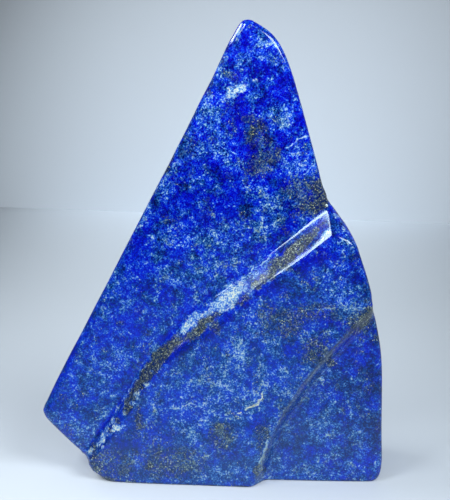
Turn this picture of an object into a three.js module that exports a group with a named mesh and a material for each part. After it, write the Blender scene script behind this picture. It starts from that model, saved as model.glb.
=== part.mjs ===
// A freestanding polished freeform of lapis lazuli, in one piece.
//
// Millimetres, +Z up. The stone stands on its flat sawn base (z = 0) with its
// broad worked front towards -Y and its width along X. The origin is the
// middle of the bounding box in X and Y, on the base plane.
//
// The body is a tapering slab whose outline is a leaning triangle with a notch
// high on the right-hand side. The front is three polished faces:
//   face A  upper and left, set back
//   face B  the middle, standing proudest
//   face C  lower right, set back again
// A wide slanting bevel (the band) joins A to B and a narrow steep one (the
// step) joins B to C. The back is three broad faces and four softened corners.
//
// The body is one continuous distance-like field; its zero level is sampled on
// a cubic grid, pulled onto the exact surface and thinned to a light mesh.

import * as THREE from 'three';

// ---------------------------------------------------------------- dimensions
// Outline seen from the front, (x, z), clockwise from the apex. It runs on
// below z = 0, where the sawn base cuts it off.
const OUTLINE = [
  [8.48, 180.08], [10.17, 179.77], [11.68, 178.94], [13.15, 178.05], [14.62, 177.16], [16.12, 176.14],
  [18.07, 174.4], [20.52, 171.33], [23.24, 166.15], [25.72, 159.53], [27.84, 152.75], [29.85, 145.9],
  [31.82, 139.0], [33.78, 132.07], [35.73, 125.1], [37.56, 118.07], [39.1, 114.4], [39.5, 112.7],
  [40.6, 111.0], [42.3, 108.9], [44.1, 106.5], [46.2, 103.7], [47.9, 100.9],
  [49.7, 97.4], [51.84, 91.14], [54.18, 84.27], [55.92, 77.87], [56.17, 75.47], [56.55, 73.69],
  [57.05, 71.49], [58.16, 67.77], [59.83, 60.51], [61.1, 52.92], [61.74, 45.2], [62.0, 37.41],
  [62.16, 29.55], [62.33, 21.61], [62.69, 13.58], [62.86, 7.76], [62.3, 3.0], [61.2, 0.6],
  [59.0, -1.6], [54.0, -7.0], [40.0, -8.0], [10.0, -8.0], [-20.0, -8.0], [-38.0, -7.0],
  [-44.0, -2.6], [-48.6, 0.2], [-51.2, 2.1], [-53.3, 3.5], [-54.4, 5.1], [-55.25, 6.35],
  [-56.59, 7.38], [-57.97, 8.01], [-59.07, 9.48], [-61.14, 11.31], [-65.7, 15.72], [-70.32, 20.41],
  [-72.32, 22.59], [-73.3, 24.19], [-73.83, 26.0], [-73.31, 27.84], [-72.4, 29.55], [-71.37, 31.69],
  [-68.95, 36.63], [-65.32, 43.72], [-61.61, 50.73], [-57.8, 57.65], [-54.15, 64.6], [-50.52, 71.49],
  [-46.85, 78.29], [-43.3, 85.08], [-39.79, 91.83], [-36.23, 98.52], [-32.7, 105.18], [-29.21, 111.81],
  [-25.7, 118.39], [-22.15, 124.88], [-18.84, 131.43], [-15.42, 137.87], [-12.17, 144.34], [-8.93, 150.76],
  [-5.54, 157.07], [-2.46, 163.47], [-0.03, 168.64], [1.67, 171.99], [2.95, 174.1], [3.8, 175.63],
  [4.64, 177.1], [5.61, 178.49], [6.83, 179.65],
];
const OUTLINE_STEPS = 4;            // chords per outline span

// Front faces as planes y = c + cx x + cz z
const FACE_A = [-18.4, -0.050, 0.065];
const FACE_B = [-25.95, -0.088, 0.080];
const FACE_C = [-19.5, -0.042, 0.018];
const FACET = [-119.07, 0.260, 0.865];  // the small facet at the band's right end
const FACET_BLEND = 0.8;            // softness of its edges

// The band between A and B. Each line is a table (u, v): u runs down the band
// from its right-hand end, v is square to it, towards the upper left.
const BAND = {
  origin: [41.0, 113.0], along: [-0.7133, -0.7009], across: [-0.7009, 0.7133],
  crease: [[2.6, 13.5, 23.6, 33.0, 41.2, 51.4, 60.4, 68.0, 76.6, 83.7, 92.2, 100.3, 108.0, 116.2, 123.9, 132.8, 140.4],
    [-1.2, -0.3, 0.6, 1.4, 1.9, 3.0, 4.6, 5.2, 5.1, 4.9, 4.5, 3.4, 1.5, -0.5, -2.1, -3.6, -4.9]],
  lip: [[4.0, 12.9, 21.5, 30.2, 37.3, 45.8, 52.7, 58.9, 64.4, 73.1, 82.4, 90.5, 98.0, 105.7, 113.8, 121.5, 129.9, 139.0],
    [-9.3, -8.5, -7.6, -6.2, -4.9, -4.1, -3.7, -3.4, -3.0, -2.0, -0.6, -0.1, -0.5, -2.0, -3.9, -5.5, -6.8, -8.2]],
  // share of the band's width taken up by the rounding of its lip and crease
  lipRound: (u) => 0.16 + 0.22 * Math.min(1, Math.max(0, (34 - u) / 30)),
  creaseRound: 0.14,
};
// The step between B and C, in the same way
const STEP = {
  origin: [56.0, 66.0], along: [-0.5880, -0.8089], across: [-0.8089, 0.5880],
  crease: [[-2.7, 4.2, 10.9, 17.4, 23.8, 28.5, 34.5, 41.4, 47.6, 52.4, 57.0, 61.8, 67.5, 72.1, 76.0],
    [0.0, 1.1, 1.8, 2.0, 2.2, 2.4, 2.5, 2.4, 2.0, 1.4, 0.5, -0.9, -2.9, -4.7, -6.3]],
  lip: [[-5.2, 0.4, 6.7, 14.3, 20.2, 26.9, 33.3, 38.4, 45.2, 51.7, 57.1, 62.4, 67.6, 72.9, 78.2],
    [4.0, 5.2, 6.0, 6.5, 6.7, 6.7, 6.7, 6.5, 6.2, 5.6, 4.6, 3.2, 1.7, 0.1, -1.3]],
  lipRound: () => 0.3,
  creaseRound: 0.3,
};

// Back faces as planes y = c + cx x + cz z: middle, left, right
const BACKS = [[25.5, -0.020, -0.060], [29.5, 0.30, -0.035], [35.0, -0.30, -0.03]];
const BACK_BLEND = [4.0, 5.0];      // softness of the two ridges between them
// Softened corners of the back: outward direction and a point on the cut
const CUTS = [
  { normal: [-0.55, 0.78, 0.30], point: [-41, 9.5, 94] },
  { normal: [0.72, 0.66, 0.22], point: [54, 13, 60] },
  { normal: [0.10, 0.86, 0.50], point: [8, 12.5, 160] },
  { normal: [0.15, 0.93, -0.33], point: [10, 23.5, 8] },
];

const R_RIM = 3.0;                  // rounding of the front rim
const R_BACK = 4.0;                 // rounding of the back rim
const R_CUT = 5.0;                  // rounding where the softened corners meet
const R_BASE = 0.9;                 // edge of the sawn base
const DRAFT = 0.05;                 // how much the sides draw in towards the back
const PILLOW = 0.55;                // how far the faces fall away near the rim
const PILLOW_REACH = 6.0;

const CENTRE = [-5.465, -0.95];     // middle of the box in x and y, moved to the origin

const CELL = 1.55;                  // sampling grid
const TRIANGLES = 9000;             // size of the finished mesh

// ------------------------------------------------------------- outline field
const outlineCurve = new THREE.CatmullRomCurve3(
  OUTLINE.map(([x, z]) => new THREE.Vector3(x, 0, z)), true, 'centripetal');
const outline = [];
for (let i = 0; i < OUTLINE.length * OUTLINE_STEPS; i += 1) {
  const p = outlineCurve.getPoint(i / (OUTLINE.length * OUTLINE_STEPS));
  outline.push([p.x, p.z]);
}

// signed distance to the outline in the x-z plane, negative inside
function outlineDistance(x, z) {
  let best = Infinity;
  let inside = false;
  for (let i = 0; i < outline.length; i += 1) {
    const a = outline[i];
    const b = outline[(i + 1) % outline.length];
    const ex = b[0] - a[0];
    const ez = b[1] - a[1];
    const wx = x - a[0];
    const wz = z - a[1];
    const t = Math.min(1, Math.max(0, (wx * ex + wz * ez) / (ex * ex + ez * ez)));
    const dx = wx - ex * t;
    const dz = wz - ez * t;
    best = Math.min(best, dx * dx + dz * dz);
    if ((a[1] <= z) !== (b[1] <= z) && x < a[0] + (ex * (z - a[1])) / ez) inside = !inside;
  }
  return inside ? -Math.sqrt(best) : Math.sqrt(best);
}

// -------------------------------------------------------------- front, back
function tableLine([xs, ys]) {
  const n = xs.length;
  const slope = [];
  for (let i = 0; i < n - 1; i += 1) slope.push((ys[i + 1] - ys[i]) / (xs[i + 1] - xs[i]));
  const m = [slope[0]];
  for (let i = 1; i < n - 1; i += 1) {
    const h0 = xs[i] - xs[i - 1];
    const h1 = xs[i + 1] - xs[i];
    m.push((slope[i - 1] * h1 + slope[i] * h0) / (h0 + h1));
  }
  m.push(slope[n - 2]);
  return (x) => {
    if (x <= xs[0]) return ys[0] + (x - xs[0]) * m[0];
    if (x >= xs[n - 1]) return ys[n - 1] + (x - xs[n - 1]) * m[n - 1];
    let i = 0;
    while (x >= xs[i + 1]) i += 1;
    const h = xs[i + 1] - xs[i];
    const t = (x - xs[i]) / h;
    const t2 = t * t;
    const t3 = t2 * t;
    return (2 * t3 - 3 * t2 + 1) * ys[i] + (t3 - 2 * t2 + t) * h * m[i]
      + (-2 * t3 + 3 * t2) * ys[i + 1] + (t3 - t2) * h * m[i + 1];
  };
}

for (const bevel of [BAND, STEP]) {
  bevel.creaseLine = tableLine(bevel.crease);
  bevel.lipLine = tableLine(bevel.lip);
}

// 0 below 0 and 1 above 1, with both corners rounded
function softRamp(t, a) {
  if (t < -a) return 0;
  if (t > a) return t;
  return ((t + a) * (t + a)) / (4 * a);
}

// how far across a bevel (0 at its lip, 1 at its crease) a point lies
function across(bevel, x, z) {
  const dx = x - bevel.origin[0];
  const dz = z - bevel.origin[1];
  const u = dx * bevel.along[0] + dz * bevel.along[1];
  const v = dx * bevel.across[0] + dz * bevel.across[1];
  const lip = bevel.lipLine(u);
  const t = (v - lip) / (bevel.creaseLine(u) - lip);
  return softRamp(t, bevel.lipRound(u)) - softRamp(t - 1, bevel.creaseRound);
}

const onPlane = (p, x, z) => p[0] + p[1] * x + p[2] * z;

function softMin(a, b, k) {
  const h = Math.min(1, Math.max(0, 0.5 + (0.5 * (b - a)) / k));
  return b + (a - b) * h - k * h * (1 - h);
}

function frontY(x, z) {
  const a = onPlane(FACE_A, x, z);
  const b = onPlane(FACE_B, x, z);
  const bc = b + (onPlane(FACE_C, x, z) - b) * across(STEP, x, z);
  // hand polishing leaves the faces very slightly wavy
  const y = bc + (a - bc) * across(BAND, x, z)
    + 0.22 * Math.sin(x / 15 + (0.7 * z) / 19 + 0.6) * Math.sin(z / 19 - (0.4 * x) / 15 + 1.1);
  // the facet, where it lies deeper than that but no deeper than the upper face
  const facet = softMin(onPlane(FACET, x, z), a - 0.6, FACET_BLEND);
  return -softMin(-y, -facet, FACET_BLEND);
}

function backY(x, z) {
  const [middle, left, right] = BACKS.map((p) => onPlane(p, x, z));
  return softMin(softMin(middle, left, BACK_BLEND[0]), right, BACK_BLEND[1])
    + 0.3 * Math.sin(x / 17 + 0.3) * Math.sin(z / 13 + 2.0);
}

// slope factor that turns a height difference into a distance
function slant(fn, x, z) {
  const e = 0.05;
  const gx = (fn(x + e, z) - fn(x - e, z)) / (2 * e);
  const gz = (fn(x, z + e) - fn(x, z - e)) / (2 * e);
  return 1 / Math.sqrt(1 + gx * gx + gz * gz);
}

// ---------------------------------------------------------------- the solid
// larger of two distances, with the edge between them rounded to radius r
function roundMax(a, b, r) {
  return Math.min(Math.max(a, b), -r) + Math.hypot(Math.max(a + r, 0), Math.max(b + r, 0));
}

const cuts = CUTS.map(({ normal, point }) => {
  const n = new THREE.Vector3(...normal).normalize();
  return new THREE.Plane(n, -n.dot(new THREE.Vector3(...point)));
});

// everything that depends on x and z only
function column(x, z) {
  const d = outlineDistance(x, z);
  const pillow = PILLOW * Math.exp(Math.min(d, 2) / PILLOW_REACH);
  return {
    d,
    front: frontY(x, z) + pillow,
    back: backY(x, z) - pillow,
    frontSlant: slant(frontY, x, z),
    backSlant: slant(backY, x, z),
  };
}

const probe = new THREE.Vector3();
function fieldIn(col, x, y, z) {
  const side = (col.d + DRAFT * (y - col.front - R_RIM)) / Math.sqrt(1 + DRAFT * DRAFT);
  let g = roundMax((col.front - y) * col.frontSlant, side, R_RIM);
  g = roundMax(g, (y - col.back) * col.backSlant, R_BACK);
  probe.set(x, y, z);
  for (const cut of cuts) g = roundMax(g, cut.distanceToPoint(probe), R_CUT);
  return roundMax(g, -z, R_BASE);
}
const field = (x, y, z) => fieldIn(column(x, z), x, y, z);

function gradient(x, y, z, out) {
  const e = 0.02;
  const col = column(x, z);
  return out.set(
    field(x + e, y, z) - field(x - e, y, z),
    fieldIn(col, x, y + e, z) - fieldIn(col, x, y - e, z),
    field(x, y, z + e) - field(x, y, z - e),
  ).divideScalar(2 * e);
}

const slope = new THREE.Vector3();
function pullOntoSurface(p, rounds, reach) {
  for (let k = 0; k < rounds; k += 1) {
    const f = field(p.x, p.y, p.z);
    if (Math.abs(f) < 1e-5) break;
    gradient(p.x, p.y, p.z, slope);
    const g2 = Math.max(slope.lengthSq(), 0.2);
    p.addScaledVector(slope, -Math.max(-reach, Math.min(reach, f)) / g2);
  }
  if (p.z < 0.004) p.z = 0;         // the base is exactly flat
  return p;
}

// ------------------------------------------------------------- first surface
// One vertex in each grid cell that the surface crosses, one quad for each
// grid edge that it crosses. The planes of the grid straddle z = 0, so that
// the base falls in the middle of its cells.
const GRID = {
  x: [-78, 68], y: [-32, 34], z: [-1.5 * CELL, 186],
};
const nx = Math.ceil((GRID.x[1] - GRID.x[0]) / CELL);
const ny = Math.ceil((GRID.y[1] - GRID.y[0]) / CELL);
const nz = Math.ceil((GRID.z[1] - GRID.z[0]) / CELL);
const node = (i, j, k) => (i * ny + j) * nz + k;
const sample = new Float64Array(nx * ny * nz);
for (let i = 0; i < nx; i += 1) {
  for (let k = 0; k < nz; k += 1) {
    const x = GRID.x[0] + i * CELL;
    const z = GRID.z[0] + k * CELL;
    const col = column(x, z);
    for (let j = 0; j < ny; j += 1) sample[node(i, j, k)] = fieldIn(col, x, GRID.y[0] + j * CELL, z);
  }
}

const points = [];
const cellVertex = new Map();
for (let i = 0; i < nx - 1; i += 1) {
  for (let j = 0; j < ny - 1; j += 1) {
    for (let k = 0; k < nz - 1; k += 1) {
      let count = 0;
      const sum = new THREE.Vector3();
      for (let e = 0; e < 12; e += 1) {
        const axis = e >> 2;
        const a = [0, 0, 0];
        a[(axis + 1) % 3] = e & 1;
        a[(axis + 2) % 3] = (e >> 1) & 1;
        const b = a.slice();
        b[axis] = 1;
        const fa = sample[node(i + a[0], j + a[1], k + a[2])];
        const fb = sample[node(i + b[0], j + b[1], k + b[2])];
        if (fa < 0 !== fb < 0) {
          const t = fa / (fa - fb);
          const at = a.slice();
          at[axis] = t;
          sum.x += at[0];
          sum.y += at[1];
          sum.z += at[2];
          count += 1;
        }
      }
      if (count > 0) {
        sum.divideScalar(count).add(new THREE.Vector3(i, j, k)).multiplyScalar(CELL);
        sum.add(new THREE.Vector3(GRID.x[0], GRID.y[0], GRID.z[0]));
        cellVertex.set(node(i, j, k), points.length);
        points.push(pullOntoSurface(sum, 4, 0.6 * CELL));
      }
    }
  }
}

let faces = [];
for (let i = 1; i < nx - 1; i += 1) {
  for (let j = 1; j < ny - 1; j += 1) {
    for (let k = 1; k < nz - 1; k += 1) {
      const here = sample[node(i, j, k)] < 0;
      for (let axis = 0; axis < 3; axis += 1) {
        const step = [0, 0, 0];
        step[axis] = 1;
        const there = sample[node(i + step[0], j + step[1], k + step[2])] < 0;
        if (here === there) continue;
        const u = [0, 0, 0];
        const v = [0, 0, 0];
        u[(axis + 1) % 3] = 1;
        v[(axis + 2) % 3] = 1;
        const cell = (a, b) => cellVertex.get(node(
          i - a * u[0] - b * v[0], j - a * u[1] - b * v[1], k - a * u[2] - b * v[2]));
        const quad = [cell(1, 1), cell(0, 1), cell(0, 0), cell(1, 0)];
        if (!here) quad.reverse();
        const [p, q, r, s] = quad;
        if (points[p].distanceToSquared(points[r]) < points[q].distanceToSquared(points[s])) {
          faces.push([p, q, r], [p, r, s]);
        } else faces.push([q, r, s], [q, s, p]);
      }
    }
  }
}

// ------------------------------------------------------------------ thinning
// Edges are closed up in order of the error they cause, the new vertex being
// pulled back onto the exact surface each time.
function thin(verts, tris, target) {
  const around = verts.map(() => new Set());
  tris.forEach((t, i) => t.forEach((v) => around[v].add(i)));
  const live = tris.map(() => true);
  let left = tris.length;
  const n = new THREE.Vector3();
  const e1 = new THREE.Vector3();
  const e2 = new THREE.Vector3();
  const cross = (a, b, c, out) => out.crossVectors(e1.subVectors(b, a), e2.subVectors(c, a));
  const quadric = verts.map(() => new Float64Array(10));
  const add = (q, a, b, c, d, w) => {
    const r = [a * a, a * b, a * c, a * d, b * b, b * c, b * d, c * c, c * d, d * d];
    for (let i = 0; i < 10; i += 1) q[i] += w * r[i];
  };
  for (const t of tris) {
    cross(verts[t[0]], verts[t[1]], verts[t[2]], n);
    const area = n.length();
    if (area < 1e-12) continue;
    n.divideScalar(area);
    for (const v of t) add(quadric[v], n.x, n.y, n.z, -n.dot(verts[t[0]]), area);
  }
  const cost = (q, p) => {
    const { x, y, z } = p;
    return q[0] * x * x + 2 * q[1] * x * y + 2 * q[2] * x * z + 2 * q[3] * x + q[4] * y * y
      + 2 * q[5] * y * z + 2 * q[6] * y + q[7] * z * z + 2 * q[8] * z + q[9];
  };
  const stamp = new Int32Array(verts.length);
  const heap = [];
  const up = (i) => {
    while (i > 0) {
      const p = (i - 1) >> 1;
      if (heap[p].c <= heap[i].c) break;
      [heap[p], heap[i]] = [heap[i], heap[p]];
      i = p;
    }
  };
  const pop = () => {
    const top = heap[0];
    const last = heap.pop();
    if (heap.length > 0) {
      heap[0] = last;
      let i = 0;
      for (;;) {
        let s = i;
        const l = 2 * i + 1;
        const r = l + 1;
        if (l < heap.length && heap[l].c < heap[s].c) s = l;
        if (r < heap.length && heap[r].c < heap[s].c) s = r;
        if (s === i) break;
        [heap[s], heap[i]] = [heap[i], heap[s]];
        i = s;
      }
    }
    return top;
  };
  const push = (a, b) => {
    const q = quadric[a].map((w, i) => w + quadric[b][i]);
    const mid = new THREE.Vector3().addVectors(verts[a], verts[b]).multiplyScalar(0.5);
    const options = [mid, verts[a], verts[b]];
    let best = options[0];
    let c = Infinity;
    for (const o of options) {
      const k = Math.max(0, cost(q, o));
      if (k < c) {
        c = k;
        best = o;
      }
    }
    // a light pull towards even triangles
    c += 2e-5 * verts[a].distanceToSquared(verts[b]) ** 2;
    heap.push({ c, a, b, at: best.clone(), s: stamp[a] + stamp[b] });
    up(heap.length - 1);
  };
  const neighbours = (v) => {
    const out = new Set();
    for (const f of around[v]) for (const w of tris[f]) if (w !== v) out.add(w);
    return out;
  };
  const seen = new Set();
  tris.forEach((t) => {
    for (let i = 0; i < 3; i += 1) {
      const a = Math.min(t[i], t[(i + 1) % 3]);
      const b = Math.max(t[i], t[(i + 1) % 3]);
      const key = a * verts.length + b;
      if (!seen.has(key)) {
        seen.add(key);
        push(a, b);
      }
    }
  });
  const old = new THREE.Vector3();
  const fits = (v, other, at) => {
    for (const f of around[v]) {
      const t = tris[f];
      if (t.includes(other)) continue;
      cross(verts[t[0]], verts[t[1]], verts[t[2]], old);
      const [a, b, c] = t.map((w) => (w === v ? at : verts[w]));
      cross(a, b, c, n);
      const area = n.length();
      const longest = Math.max(a.distanceToSquared(b), b.distanceToSquared(c), c.distanceToSquared(a));
      if (area < 0.16 * longest) return false;
      if (n.dot(old) < 0.75 * area * old.length()) return false;
    }
    return true;
  };
  while (left > target && heap.length > 0) {
    const e = pop();
    if (e.s !== stamp[e.a] + stamp[e.b] || around[e.a].size === 0 || around[e.b].size === 0) continue;
    const na = neighbours(e.a);
    if (!na.has(e.b)) continue;
    let shared = 0;
    for (const w of neighbours(e.b)) if (na.has(w)) shared += 1;
    if (shared !== 2) continue;
    const onBase = verts[e.a].z === 0 || verts[e.b].z === 0;
    if (onBase && verts[e.a].z !== verts[e.b].z) continue;
    const at = onBase ? e.at : pullOntoSurface(e.at, 2, 1);
    if (!fits(e.a, e.b, at) || !fits(e.b, e.a, at)) continue;
    verts[e.a] = at;
    for (let i = 0; i < 10; i += 1) quadric[e.a][i] += quadric[e.b][i];
    for (const f of around[e.b]) {
      if (tris[f].includes(e.a)) {
        live[f] = false;
        left -= 1;
        for (const w of tris[f]) if (w !== e.b) around[w].delete(f);
      } else {
        tris[f][tris[f].indexOf(e.b)] = e.a;
        around[e.a].add(f);
      }
    }
    around[e.b].clear();
    stamp[e.a] += 1;
    for (const w of neighbours(e.a)) push(Math.min(e.a, w), Math.max(e.a, w));
  }
  return tris.filter((t, i) => live[i]);
}
faces = thin(points, faces, TRIANGLES);

// ------------------------------------------------------------------ the mesh
const renumber = new Map();
const positions = [];
const index = [];
for (const t of faces) {
  for (const v of t) {
    if (!renumber.has(v)) {
      renumber.set(v, renumber.size);
      positions.push(points[v].x - CENTRE[0], points[v].y - CENTRE[1], points[v].z);
    }
    index.push(renumber.get(v));
  }
}
const geometry = new THREE.BufferGeometry();
geometry.setAttribute('position', new THREE.Float32BufferAttribute(positions, 3));
geometry.setIndex(index);
geometry.computeVertexNormals();

const polishedLapis = new THREE.MeshStandardMaterial({
  name: 'polished_lapis',
  color: 0x24439c,
  roughness: 0.16,
  metalness: 0.0,
});

const stone = new THREE.Mesh(geometry, polishedLapis);
stone.name = 'stone';

const freeform = new THREE.Group();
freeform.name = 'lapis_freeform';
freeform.add(stone);

export default freeform;
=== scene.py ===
"""A polished lapis lazuli freeform: fine surface, stone material, plain pale studio.

Shaping happens in millimetres in the stone's own shaping frame; CENTRE moves it to the
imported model's frame, and everything is turned to metres when the mesh is made.
"""

import math

import bpy
import numpy as np
from mathutils import Matrix, Vector


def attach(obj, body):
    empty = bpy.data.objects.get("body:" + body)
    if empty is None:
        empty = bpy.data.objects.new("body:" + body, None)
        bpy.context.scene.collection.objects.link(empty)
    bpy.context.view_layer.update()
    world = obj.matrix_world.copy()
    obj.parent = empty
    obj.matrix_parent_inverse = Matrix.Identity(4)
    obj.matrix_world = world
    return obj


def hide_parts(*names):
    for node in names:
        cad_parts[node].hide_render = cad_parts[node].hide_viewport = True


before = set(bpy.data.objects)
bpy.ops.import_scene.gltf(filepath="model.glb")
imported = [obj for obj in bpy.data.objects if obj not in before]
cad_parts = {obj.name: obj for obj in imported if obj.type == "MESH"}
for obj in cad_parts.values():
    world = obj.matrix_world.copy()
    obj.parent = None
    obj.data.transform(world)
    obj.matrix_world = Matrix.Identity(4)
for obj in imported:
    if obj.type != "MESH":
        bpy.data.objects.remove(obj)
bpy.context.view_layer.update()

MM = 0.001
CENTRE = (-5.465, -0.95)  # middle of the box in the shaping frame, x and y

# ------------------------------------------------------------------ the shape
OUTLINE = [
    (8.48, 180.08), (10.17, 179.77), (11.68, 178.94), (13.15, 178.05), (14.62, 177.16), (16.12, 176.14),
    (18.07, 174.4), (20.52, 171.33), (23.24, 166.15), (25.72, 159.53), (27.84, 152.75), (29.85, 145.9),
    (31.82, 139.0), (33.78, 132.07), (35.73, 125.1), (37.56, 118.07), (39.1, 114.4), (39.5, 112.7),
    (40.6, 111.0), (42.3, 108.9), (44.1, 106.5), (46.2, 103.7), (47.9, 100.9),
    (49.7, 97.4), (51.84, 91.14), (54.18, 84.27), (55.92, 77.87), (56.17, 75.47), (56.55, 73.69),
    (57.05, 71.49), (58.16, 67.77), (59.83, 60.51), (61.1, 52.92), (61.74, 45.2), (62.0, 37.41),
    (62.16, 29.55), (62.33, 21.61), (62.69, 13.58), (62.86, 7.76), (62.3, 3.0), (61.2, 0.6),
    (59.0, -1.6), (54.0, -7.0), (40.0, -8.0), (10.0, -8.0), (-20.0, -8.0), (-38.0, -7.0),
    (-44.0, -2.6), (-48.6, 0.2), (-51.2, 2.1), (-53.3, 3.5), (-54.4, 5.1), (-55.25, 6.35),
    (-56.59, 7.38), (-57.97, 8.01), (-59.07, 9.48), (-61.14, 11.31), (-65.7, 15.72), (-70.32, 20.41),
    (-72.32, 22.59), (-73.3, 24.19), (-73.83, 26.0), (-73.31, 27.84), (-72.4, 29.55), (-71.37, 31.69),
    (-68.95, 36.63), (-65.32, 43.72), (-61.61, 50.73), (-57.8, 57.65), (-54.15, 64.6), (-50.52, 71.49),
    (-46.85, 78.29), (-43.3, 85.08), (-39.79, 91.83), (-36.23, 98.52), (-32.7, 105.18), (-29.21, 111.81),
    (-25.7, 118.39), (-22.15, 124.88), (-18.84, 131.43), (-15.42, 137.87), (-12.17, 144.34), (-8.93, 150.76),
    (-5.54, 157.07), (-2.46, 163.47), (-0.03, 168.64), (1.67, 171.99), (2.95, 174.1), (3.8, 175.63),
    (4.64, 177.1), (5.61, 178.49), (6.83, 179.65),
]
FACE_A = (-18.4, -0.050, 0.065)  # planes y = c + cx x + cz z
FACE_B = (-25.95, -0.088, 0.080)
FACE_C = (-19.5, -0.042, 0.018)
FACET = (-119.07, 0.260, 0.865)  # the small facet at the band's right end
FACET_BLEND = 0.8
BAND_O, BAND_E, BAND_N = (41.0, 113.0), (-0.7133, -0.7009), (-0.7009, 0.7133)
STEP_O, STEP_E, STEP_N = (56.0, 66.0), (-0.5880, -0.8089), (-0.8089, 0.5880)
BAND_CREASE = (
    [2.6, 13.5, 23.6, 33.0, 41.2, 51.4, 60.4, 68.0, 76.6, 83.7, 92.2, 100.3, 108.0, 116.2, 123.9, 132.8, 140.4],
    [-1.2, -0.3, 0.6, 1.4, 1.9, 3.0, 4.6, 5.2, 5.1, 4.9, 4.5, 3.4, 1.5, -0.5, -2.1, -3.6, -4.9],
)
BAND_LIP = (
    [4.0, 12.9, 21.5, 30.2, 37.3, 45.8, 52.7, 58.9, 64.4, 73.1, 82.4, 90.5, 98.0, 105.7, 113.8, 121.5, 129.9, 139.0],
    [-9.3, -8.5, -7.6, -6.2, -4.9, -4.1, -3.7, -3.4, -3.0, -2.0, -0.6, -0.1, -0.5, -2.0, -3.9, -5.5, -6.8, -8.2],
)
STEP_LIP = (
    [-5.2, 0.4, 6.7, 14.3, 20.2, 26.9, 33.3, 38.4, 45.2, 51.7, 57.1, 62.4, 67.6, 72.9, 78.2],
    [4.0, 5.2, 6.0, 6.5, 6.7, 6.7, 6.7, 6.5, 6.2, 5.6, 4.6, 3.2, 1.7, 0.1, -1.3],
)
STEP_CREASE = (
    [-2.7, 4.2, 10.9, 17.4, 23.8, 28.5, 34.5, 41.4, 47.6, 52.4, 57.0, 61.8, 67.5, 72.1, 76.0],
    [0.0, 1.1, 1.8, 2.0, 2.2, 2.4, 2.5, 2.4, 2.0, 1.4, 0.5, -0.9, -2.9, -4.7, -6.3],
)
BACKS = ((25.5, -0.020, -0.060), (29.5, 0.30, -0.035), (35.0, -0.30, -0.03))
CUTS = (
    ((-0.55, 0.78, 0.30), (-41, 9.5, 94)),
    ((0.72, 0.66, 0.22), (54, 13, 60)),
    ((0.10, 0.86, 0.50), (8, 12.5, 160)),
    ((0.15, 0.93, -0.33), (10, 23.5, 8)),
)
R_RIM, R_BACK, R_CUT, R_BASE, DRAFT = 3.0, 4.0, 5.0, 0.9, 0.05
PILLOW, PILLOW_REACH = 0.55, 6.0
CELL = 0.75


def closed_curve(points, n):
    """Closed centripetal Catmull-Rom curve through the points, n chords to a span."""
    p = np.asarray(points, float)
    out = []
    for i in range(len(p)):
        p0, p1, p2, p3 = p[i - 1], p[i], p[(i + 1) % len(p)], p[(i + 2) % len(p)]
        d0, d1, d2 = (max(float(np.sum((b - a) ** 2)) ** 0.25, 1e-4) for a, b in ((p0, p1), (p1, p2), (p2, p3)))
        t1 = ((p1 - p0) / d0 - (p2 - p0) / (d0 + d1) + (p2 - p1) / d1) * d1
        t2 = ((p2 - p1) / d1 - (p3 - p1) / (d1 + d2) + (p3 - p2) / d2) * d1
        for k in range(n):
            t = k / n
            out.append(p1 + t1 * t + (-3 * p1 + 3 * p2 - 2 * t1 - t2) * t * t + (2 * p1 - 2 * p2 + t1 + t2) * t**3)
    return np.array(out)


EDGE = closed_curve(OUTLINE, 4)


def edge_distance(x, z):
    """Signed distance to the outline and its slope along x and z. Negative inside."""
    best = np.full(x.shape, 1e18)
    bx, bz = np.zeros(x.shape), np.zeros(x.shape)
    inside = np.zeros(x.shape, bool)
    for (ax, az), (cx, cz) in zip(EDGE, np.roll(EDGE, -1, axis=0)):
        ex, ez = cx - ax, cz - az
        wx, wz = x - ax, z - az
        t = np.clip((wx * ex + wz * ez) / (ex * ex + ez * ez), 0, 1)
        dx, dz = wx - ex * t, wz - ez * t
        q = dx * dx + dz * dz
        m = q < best
        best = np.where(m, q, best)
        bx, bz = np.where(m, dx, bx), np.where(m, dz, bz)
        if ez != 0:
            inside ^= ((az <= z) != (cz <= z)) & (x < ax + ex * (z - az) / ez)
    d = np.sqrt(best)
    s = np.where(inside, -1.0, 1.0)
    dd = np.maximum(d, 1e-9)
    return s * d, s * bx / dd, s * bz / dd


def table_line(table, x):
    xk, yk = (np.asarray(v, float) for v in table)
    h = np.diff(xk)
    s = np.diff(yk) / h
    m = np.empty_like(yk)
    m[0], m[-1] = s[0], s[-1]
    m[1:-1] = (s[:-1] * h[1:] + s[1:] * h[:-1]) / (h[:-1] + h[1:])
    xc = np.clip(x, xk[0], xk[-1])
    i = np.clip(np.searchsorted(xk, xc, side="right") - 1, 0, len(xk) - 2)
    hi = h[i]
    t = (xc - xk[i]) / hi
    t2, t3 = t * t, t * t * t
    y = (2 * t3 - 3 * t2 + 1) * yk[i] + (t3 - 2 * t2 + t) * hi * m[i]
    y = y + (-2 * t3 + 3 * t2) * yk[i + 1] + (t3 - t2) * hi * m[i + 1]
    d = ((6 * t2 - 6 * t) * yk[i] + (-6 * t2 + 6 * t) * yk[i + 1]) / hi
    d = d + (3 * t2 - 4 * t + 1) * m[i] + (3 * t2 - 2 * t) * m[i + 1]
    lo, up = x < xk[0], x > xk[-1]
    y = y + np.where(lo, (x - xk[0]) * m[0], 0) + np.where(up, (x - xk[-1]) * m[-1], 0)
    return y, np.where(lo, m[0], np.where(up, m[-1], d))


def soft_ramp(t, a):
    v = np.where(t < -a, 0, np.where(t > a, t, (t + a) ** 2 / (4 * a)))
    return v, np.where(t < -a, 0, np.where(t > a, 1, (t + a) / (2 * a)))


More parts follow.
